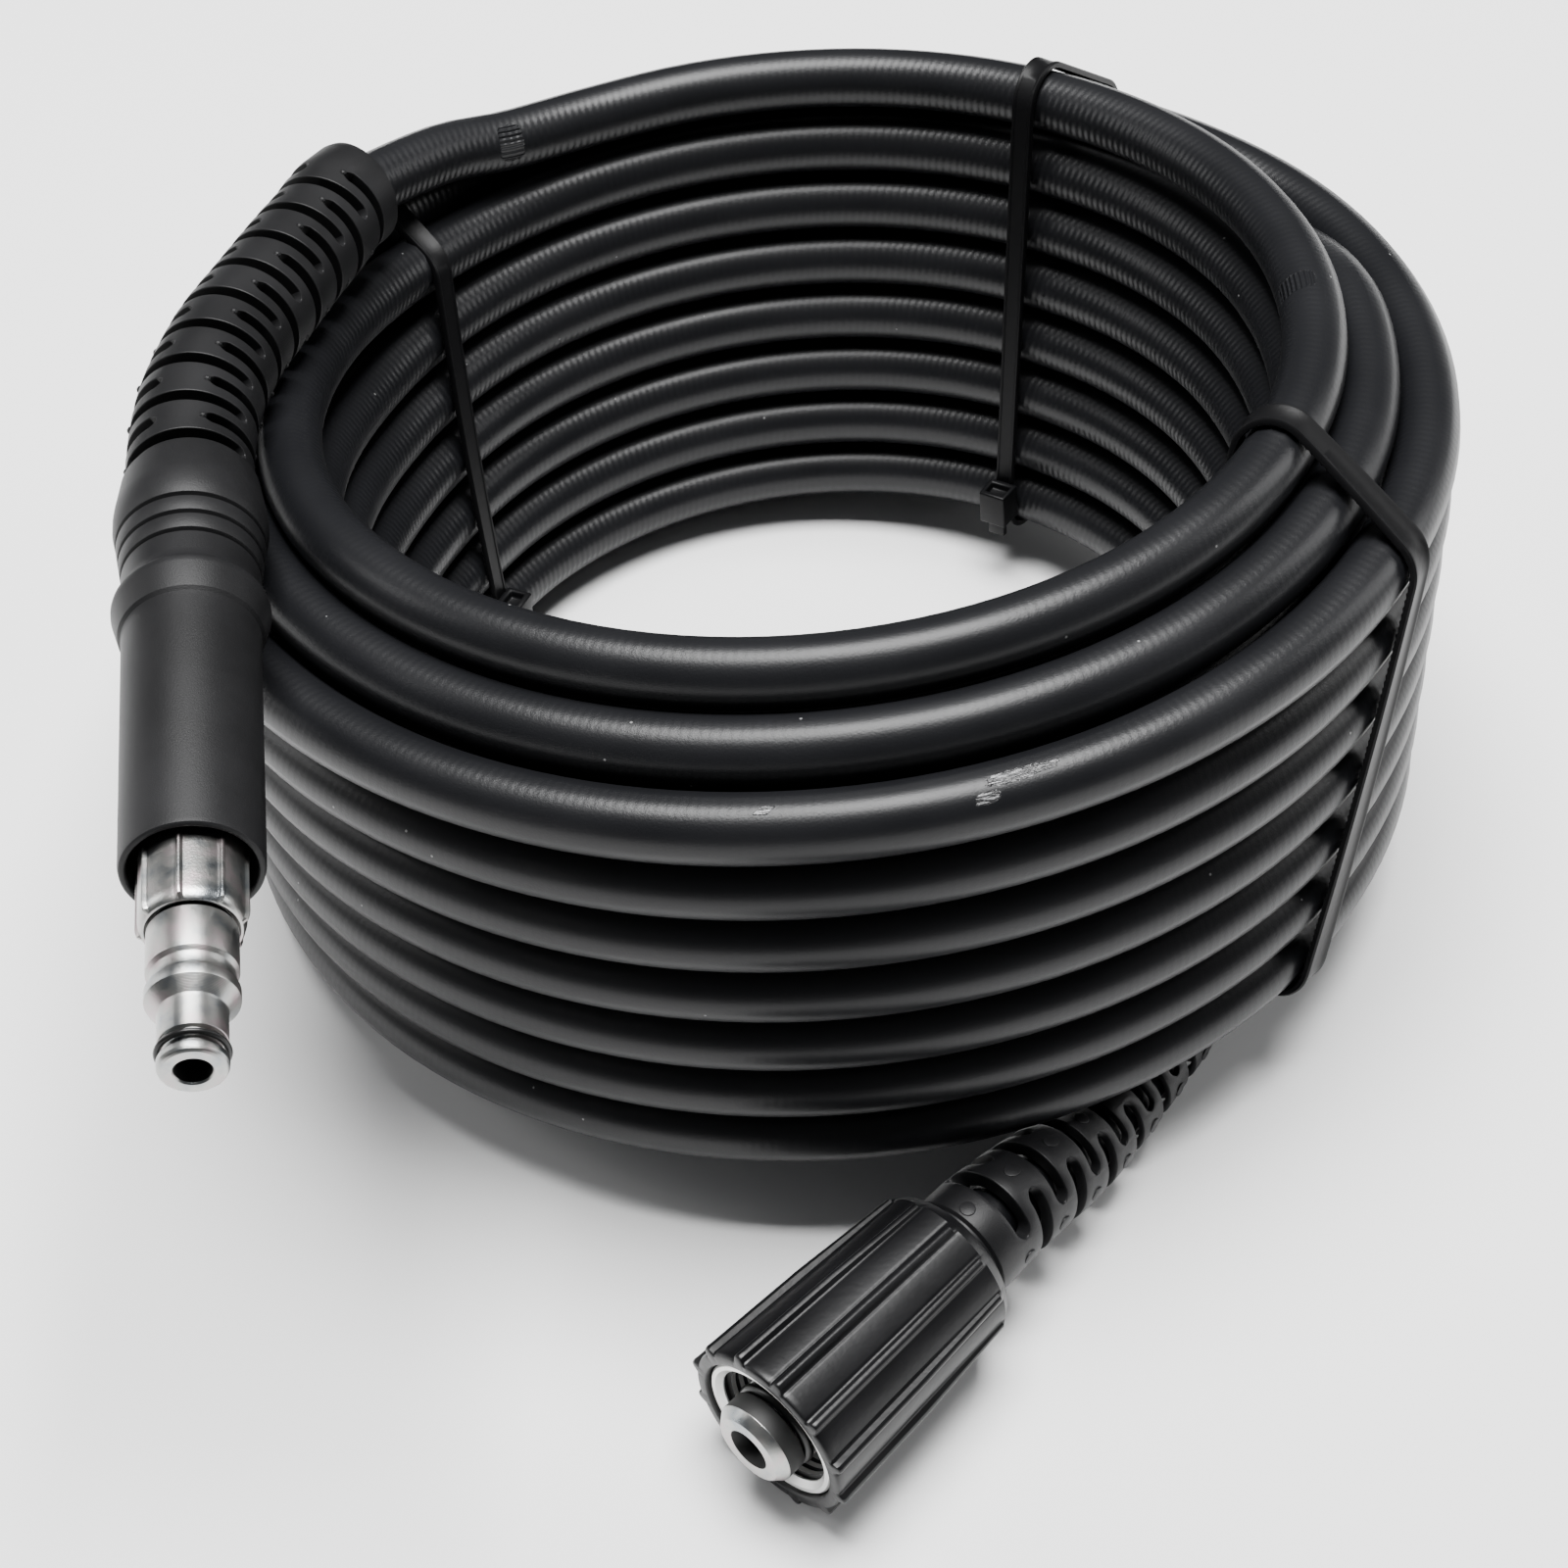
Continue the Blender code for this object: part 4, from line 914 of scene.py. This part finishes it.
# Swivel nut
# A hard black plastic grip with twelve round ribs, turned by hand. It narrows a little towards its
# back, and its mouth is open.
NUT_LENGTH = 42.5 * MM
NUT_SHOULDER = 2.2 * MM
NUT_RADIUS = 15.0 * MM
NUT_BACK_RADIUS = 13.4 * MM
NUT_RIB = 1.2 * MM
NUT_RIBS = 12
NUT_COLUMNS = 24
INSERT_RADIUS = 12.5 * MM
INSERT_LENGTH = 20.5 * MM
INSERT_RECESS = 0.6 * MM
nut_place = frame_along(NUT_MOUTH, pump_along)
grip_bore = INSERT_RADIUS + GAP
back_bore = PUMP_RADIUS + 0.7 * MM
shelf = INSERT_RECESS + INSERT_LENGTH + GAP
rib_end = NUT_LENGTH - NUT_SHOULDER


def nut_radius(height):
    return NUT_RADIUS + (NUT_BACK_RADIUS - NUT_RADIUS) * height / rib_end


nut = lathe("nut_grip_ribbed", [
    (back_bore + 0.5 * MM, NUT_LENGTH), (NUT_BACK_RADIUS - 1.5 * MM, NUT_LENGTH),
    (NUT_BACK_RADIUS - 1.2 * MM, NUT_LENGTH - 0.2 * MM), (NUT_BACK_RADIUS, rib_end + 0.1 * MM),
    (NUT_BACK_RADIUS, rib_end - 0.6 * MM), (nut_radius(20 * MM), 20 * MM), (nut_radius(1.6 * MM), 1.6 * MM),
    (NUT_RADIUS, 0.7 * MM), (NUT_RADIUS - 0.15 * MM, 0.2 * MM), (NUT_RADIUS - 0.5 * MM, 0),
    (grip_bore + 0.3 * MM, 0), (grip_bore, 0.3 * MM), (grip_bore, shelf), (back_bore, shelf),
    (back_bore, NUT_LENGTH - 0.5 * MM)], NUT_RIBS * NUT_COLUMNS)
# how far each column across a rib stands out, as a share of the rib
rib_section = (-0.12, 0.05, 0.72, 0.94, 1.0, 0.94, 0.72, 0.05, -0.12)
first_rib = round(0.25 * NUT_COLUMNS) - 3
for vertex in nut.data.vertices:
    column = round(math.atan2(vertex.co.y, vertex.co.x) / (2 * math.pi) * NUT_RIBS * NUT_COLUMNS)
    across = (column - first_rib) % NUT_COLUMNS
    radius = vertex.co.xy.length
    height = vertex.co.z
    if across < len(rib_section) and radius > nut_radius(height) - 0.6 * MM and height < rib_end:
        end_share = 0.45 if height > rib_end - 1 * MM or height < 0.1 * MM else 1.0
        grown = 1 + NUT_RIB * rib_section[across] * end_share / radius
        vertex.co.x *= grown
        vertex.co.y *= grown
round_edges(nut, 0.12 * MM, 40)
nut.data.materials.append(moulded_material(
    "nut_plastic", (0.003, 0.003, 0.0034), (0.007, 0.007, 0.008), 0.34, 900.0, 0.00003, 0.5, 0.26))
settle(nut, nut_place, 30)
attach(nut, "coupling_nut")
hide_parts("nut_grip")

# Threaded insert
# Zinc-plated steel, pressed into the nut's mouth. Its M22 thread is cut at 1.5 mm a turn, and its
# lip pulls on the nipple's flange.
THREAD_PITCH = 1.5 * MM
THREAD_ROOT = 11.0 * MM
THREAD_CREST = 10.2 * MM
THREAD_START = INSERT_RECESS + 1.4 * MM
MOUTH_STEP = THREAD_CREST + 0.4 * MM
THREAD_TURNS = 11
INSERT_LIP = 3.0 * MM
insert_back = INSERT_RECESS + INSERT_LENGTH
NIPPLE_HEAD_RADIUS = 7.2 * MM
lip_bore = NIPPLE_HEAD_RADIUS + GAP
insert = lathe("nut_insert_threaded", [
    (INSERT_RADIUS, insert_back), (INSERT_RADIUS, INSERT_RECESS + 0.3 * MM),
    (INSERT_RADIUS - 0.3 * MM, INSERT_RECESS), (THREAD_ROOT + 0.5 * MM, INSERT_RECESS),
    (MOUTH_STEP, INSERT_RECESS + 0.9 * MM), (MOUTH_STEP, INSERT_RECESS + 1.2 * MM),
    (THREAD_ROOT, INSERT_RECESS + 1.3 * MM), (THREAD_ROOT, insert_back - INSERT_LIP),
    (lip_bore, insert_back - INSERT_LIP), (lip_bore, insert_back)], 72)
mark_along(insert)

bpy.ops.object.select_all(action="DESELECT")
bpy.ops.mesh.primitive_plane_add(size=MM)
thread = bpy.context.object
thread.name = "thread"
ridge = [(THREAD_ROOT + 0.1 * MM, 0.0), (THREAD_ROOT + 0.1 * MM, 1.3 * MM), (THREAD_CREST, 1.05 * MM),
         (THREAD_CREST, 0.25 * MM)]
for vertex, (radius, height) in zip((thread.data.vertices[i] for i in (0, 1, 3, 2)), ridge):
    vertex.co = (radius, 0, THREAD_START + height)
screw = thread.modifiers.new("cut", "SCREW")
screw.screw_offset = THREAD_PITCH
screw.iterations = THREAD_TURNS
screw.steps = 60
screw.render_steps = 60
screw.use_merge_vertices = False
bpy.ops.object.modifier_apply(modifier="cut")
bpy.ops.object.mode_set(mode="EDIT")
bpy.ops.mesh.select_all(action="SELECT")
bpy.ops.mesh.remove_doubles(threshold=0.000002)
bpy.ops.mesh.normals_make_consistent(inside=False)
bpy.ops.object.mode_set(mode="OBJECT")
mark_along(thread)
join_to(insert, [thread])
insert.data.materials.append(plain_material("thread_zinc", (0.8, 0.8, 0.78), 0.3, 0.5))
# The thread's flanks and roots, and the wall behind them, get the black finish: painted shade in the
# grooves; the crests keep the bright zinc.
insert.data.materials.append(painted_recess_shade)
for polygon in insert.data.polygons:
    deep = polygon.center.z > THREAD_START - 0.15 * MM
    between = THREAD_CREST + 0.05 * MM < polygon.center.xy.length < THREAD_ROOT + 0.02 * MM
    polygon.material_index = 1 if deep and between else 0
settle(insert, nut_place, 16)
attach(insert, "coupling_nut")
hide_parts("nut_insert")

# Nipple and its ring
# Turned steel, zinc plated: a chamfered head, a seal groove in it, and the flange that the insert
# pulls on. The hose's ferrule holds its shaft. Behind the nose the head's side is painted black:
# it stands in for a wider seal, and is painted shade deep in the nut, like the painted shade in the bore.
NIPPLE_PROUD = 4.0
NIPPLE_BORE = 3.0
NIPPLE_MOUTH = 3.7
NIPPLE_SHAFT = 6.7
NIPPLE_FLANGE = 9.7
NOSE_END = -2.2 * MM
FLANGE_START = 13.9 * MM
head = NIPPLE_HEAD_RADIUS / MM
nipple_end = NIPPLE_LENGTH / MM
nipple = lathe("pump_nipple_turned", in_millimetres([
    (NIPPLE_SHAFT, nipple_end), (NIPPLE_SHAFT, 17.0), (NIPPLE_FLANGE, 17.0), (NIPPLE_FLANGE, 14.0),
    (head, 14.0), (head, 3.6), (head - 2.0, 3.5), (head - 2.0, 0.9), (head, 0.8), (head, 1.6 - NIPPLE_PROUD),
    (head - 1.3, -NIPPLE_PROUD), (NIPPLE_MOUTH, -NIPPLE_PROUD), (NIPPLE_BORE, 2.0 - NIPPLE_PROUD),
    (NIPPLE_BORE, nipple_end)]), 96)
mark_along(nipple)
round_edges(nipple, 0.08 * MM, 25)
nipple.data.materials.append(turned_zinc)
# The nipple's bore and mouth get painted shade.
paint_bore_shade(nipple, NIPPLE_MOUTH * MM)
# The head's side behind the nose gets the black finish too: partly a wider seal, partly painted shade deep
# in the nut.
for polygon in nipple.data.polygons:
    on_side = polygon.center.xy.length > NIPPLE_HEAD_RADIUS - 0.05 * MM
    if on_side and NOSE_END < polygon.center.z < FLANGE_START:
        polygon.material_index = 1
settle(nipple, nut_place, 16)
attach(nipple, "hose")
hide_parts("pump_nipple")
seal_ring("nipple_seal", NIPPLE_HEAD_RADIUS + 0.3 * MM, NIPPLE_HEAD_RADIUS - 1.6 * MM, 2.2 * MM,
          nut_place, "nipple_o_ring", "hose")

pump_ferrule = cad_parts["pump_ferrule"]
pump_ferrule.data.materials.clear()
pump_ferrule.data.materials.append(crimped_zinc)


# Cable ties
# Black nylon ties, 4.8 mm wide, pulled tight round the coil's section. Their teeth face the hose,
# and each head sits low in the bore with its tail cut off short.
STRAP_WIDTH = 4.8 * MM
STRAP_THICKNESS = 1.3 * MM
STRAP_CLEARANCE = 0.5 * MM
TIE_HEAD = Vector((5.6, 7.4, 8.0)) * MM
TIE_TAIL = 4.5 * MM
TOOTH_PITCH = 1.15 * MM
TOOTH_DEPTH = 0.32 * MM
tie_nylon = moulded_material("tie_nylon", (0.003, 0.003, 0.0034), (0.006, 0.006, 0.006),
                             0.42, 700.0, 0.00004, 0.4, 0.12)


def hull_route(circles, offset):
    """Points about every half millimetre round a set of turns, in (radius, height)."""
    corners = []
    for i, centre in enumerate(circles):
        before = Vector(circles[i - 1])
        after = Vector(circles[(i + 1) % len(circles)])
        middle = Vector(centre)
        arriving = middle - before
        leaving = after - middle
        start = math.atan2(-arriving.x, arriving.y)
        end = math.atan2(-leaving.x, leaving.y)
        while end < start:
            end += 2 * math.pi
        steps = max(1, math.ceil((end - start) / math.radians(7)))
        for j in range(steps + 1):
            angle = start + (end - start) * j / steps
            corners.append(middle + Vector((math.cos(angle), math.sin(angle))) * (HOSE_RADIUS + offset))
    route = []
    for a, b in zip(corners, corners[1:] + corners[:1]):
        count = max(1, round((b - a).length / (TOOTH_PITCH / 2)))
        route += [a.lerp(b, j / count) for j in range(count)]
    return route


def wrap(height, radius, across, slant):
    """A place on a strap. The slant is its azimuth at the height of the top turn and at the floor."""
    top, low = slant
    middle_radius = (inner_layer[0][0] + outer_layer[0][0]) / 2
    angle = math.radians(low + (top - low) * height / TOP_TURN[1]) - across / middle_radius
    return coil_place @ Vector((radius * math.cos(angle), radius * math.sin(angle), height))


def strap_section(inner_lift):
    """The strap's section: (across, out) pairs, with a low rim along each edge."""
    half = STRAP_WIDTH / 2
    side = [(half - 0.15 * MM, inner_lift), (half, 0.25 * MM), (half, STRAP_THICKNESS - 0.3 * MM),
            (half - 0.25 * MM, STRAP_THICKNESS), (half - 0.65 * MM, STRAP_THICKNESS),
            (half - 0.9 * MM, STRAP_THICKNESS - 0.18 * MM)]
    return [(-across, out) for across, out in side] + side[::-1]


def tie_strap(name, circles, slant):
    route = hull_route(circles, STRAP_CLEARANCE)
    work = bmesh.new()
    rings = []
    for number, point in enumerate(route):
        run = (route[(number + 1) % len(route)] - route[number - 1]).normalized()
        outward = Vector((run.y, -run.x))
        tooth = TOOTH_DEPTH if number % 2 else 0.0
        ring = []
        for across, out in strap_section(tooth):
            spot = point + outward * out
            ring.append(work.verts.new(wrap(spot.y, spot.x, across, slant)))
        rings.append(ring)
    for ring, following in zip(rings, rings[1:] + rings[:1]):
        for i in range(len(ring)):
            j = (i + 1) % len(ring)
            work.faces.new((ring[i], ring[j], following[j], following[i]))
    bmesh.ops.recalc_face_normals(work, faces=work.faces)
    data = bpy.data.meshes.new(name)
    work.to_mesh(data)
    work.free()
    made = bpy.data.objects.new(name, data)
    bpy.context.scene.collection.objects.link(made)
    return made


def tie_block(size, radius, height):
    """A moulded block, in (radius, height, across); the caller rounds its edges."""
    bpy.ops.object.select_all(action="DESELECT")
    bpy.ops.mesh.primitive_cube_add(size=1.0)
    made = bpy.context.object
    made.scale = size
    made.location = (radius, height, 0)
    bpy.ops.object.transform_apply(location=True, rotation=True, scale=True)
    return made


def cable_tie(name, node, slant, top_circles, head_height):
    circles = [outer_layer[0], outer_layer[-1]] + top_circles + [inner_layer[0]]
    made = tie_strap(name, circles, slant)
    low = Vector(inner_layer[0])
    high = Vector(top_circles[-1])
    share = (head_height - low.y) / (high.y - low.y)
    wall = low.x + (high.x - low.x) * share - HOSE_RADIUS - STRAP_CLEARANCE - 0.4 * MM

    head = tie_block(TIE_HEAD, wall - TIE_HEAD.x / 2, head_height)
    bpy.ops.object.mode_set(mode="EDIT")
    bpy.ops.mesh.select_mode(type="FACE")
    bpy.ops.mesh.select_all(action="DESELECT")
    bpy.ops.object.mode_set(mode="OBJECT")
    for polygon in head.data.polygons:
        polygon.select = abs(polygon.normal.y) > 0.9
    bpy.ops.object.mode_set(mode="EDIT")
    bpy.ops.mesh.inset(thickness=1.3 * MM, depth=0)
    bpy.ops.mesh.inset(thickness=0.05 * MM, depth=-1.4 * MM)
    bpy.ops.object.mode_set(mode="OBJECT")
    round_edges(head, 0.45 * MM, 60, 3)
    tail = tie_block(Vector((STRAP_THICKNESS, TIE_TAIL, STRAP_WIDTH)), wall - TIE_HEAD.x * 0.6,
                     head_height - TIE_HEAD.y / 2 - TIE_TAIL / 2 + 1 * MM)
    round_edges(tail, 0.2 * MM, 60, 2)
    for block in (head, tail):
        for vertex in block.data.vertices:
            vertex.co = wrap(vertex.co.y, vertex.co.x, vertex.co.z, slant)
    join_to(made, [head, tail])
    made.data.materials.append(tie_nylon)
    settle(made, Matrix.Identity(4))
    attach(made, "hose")
    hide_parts(node)


cable_tie("left_tie", "tie_left", (140.3, 154.0), [middle_layer[-1], inner_layer[-1]], 10 * MM)
cable_tie("back_tie", "tie_back", (54.0, 54.0), [TOP_TURN], 8 * MM)
cable_tie("right_tie", "tie_right", (-32.4, -46.1), [TOP_TURN], 8 * MM)
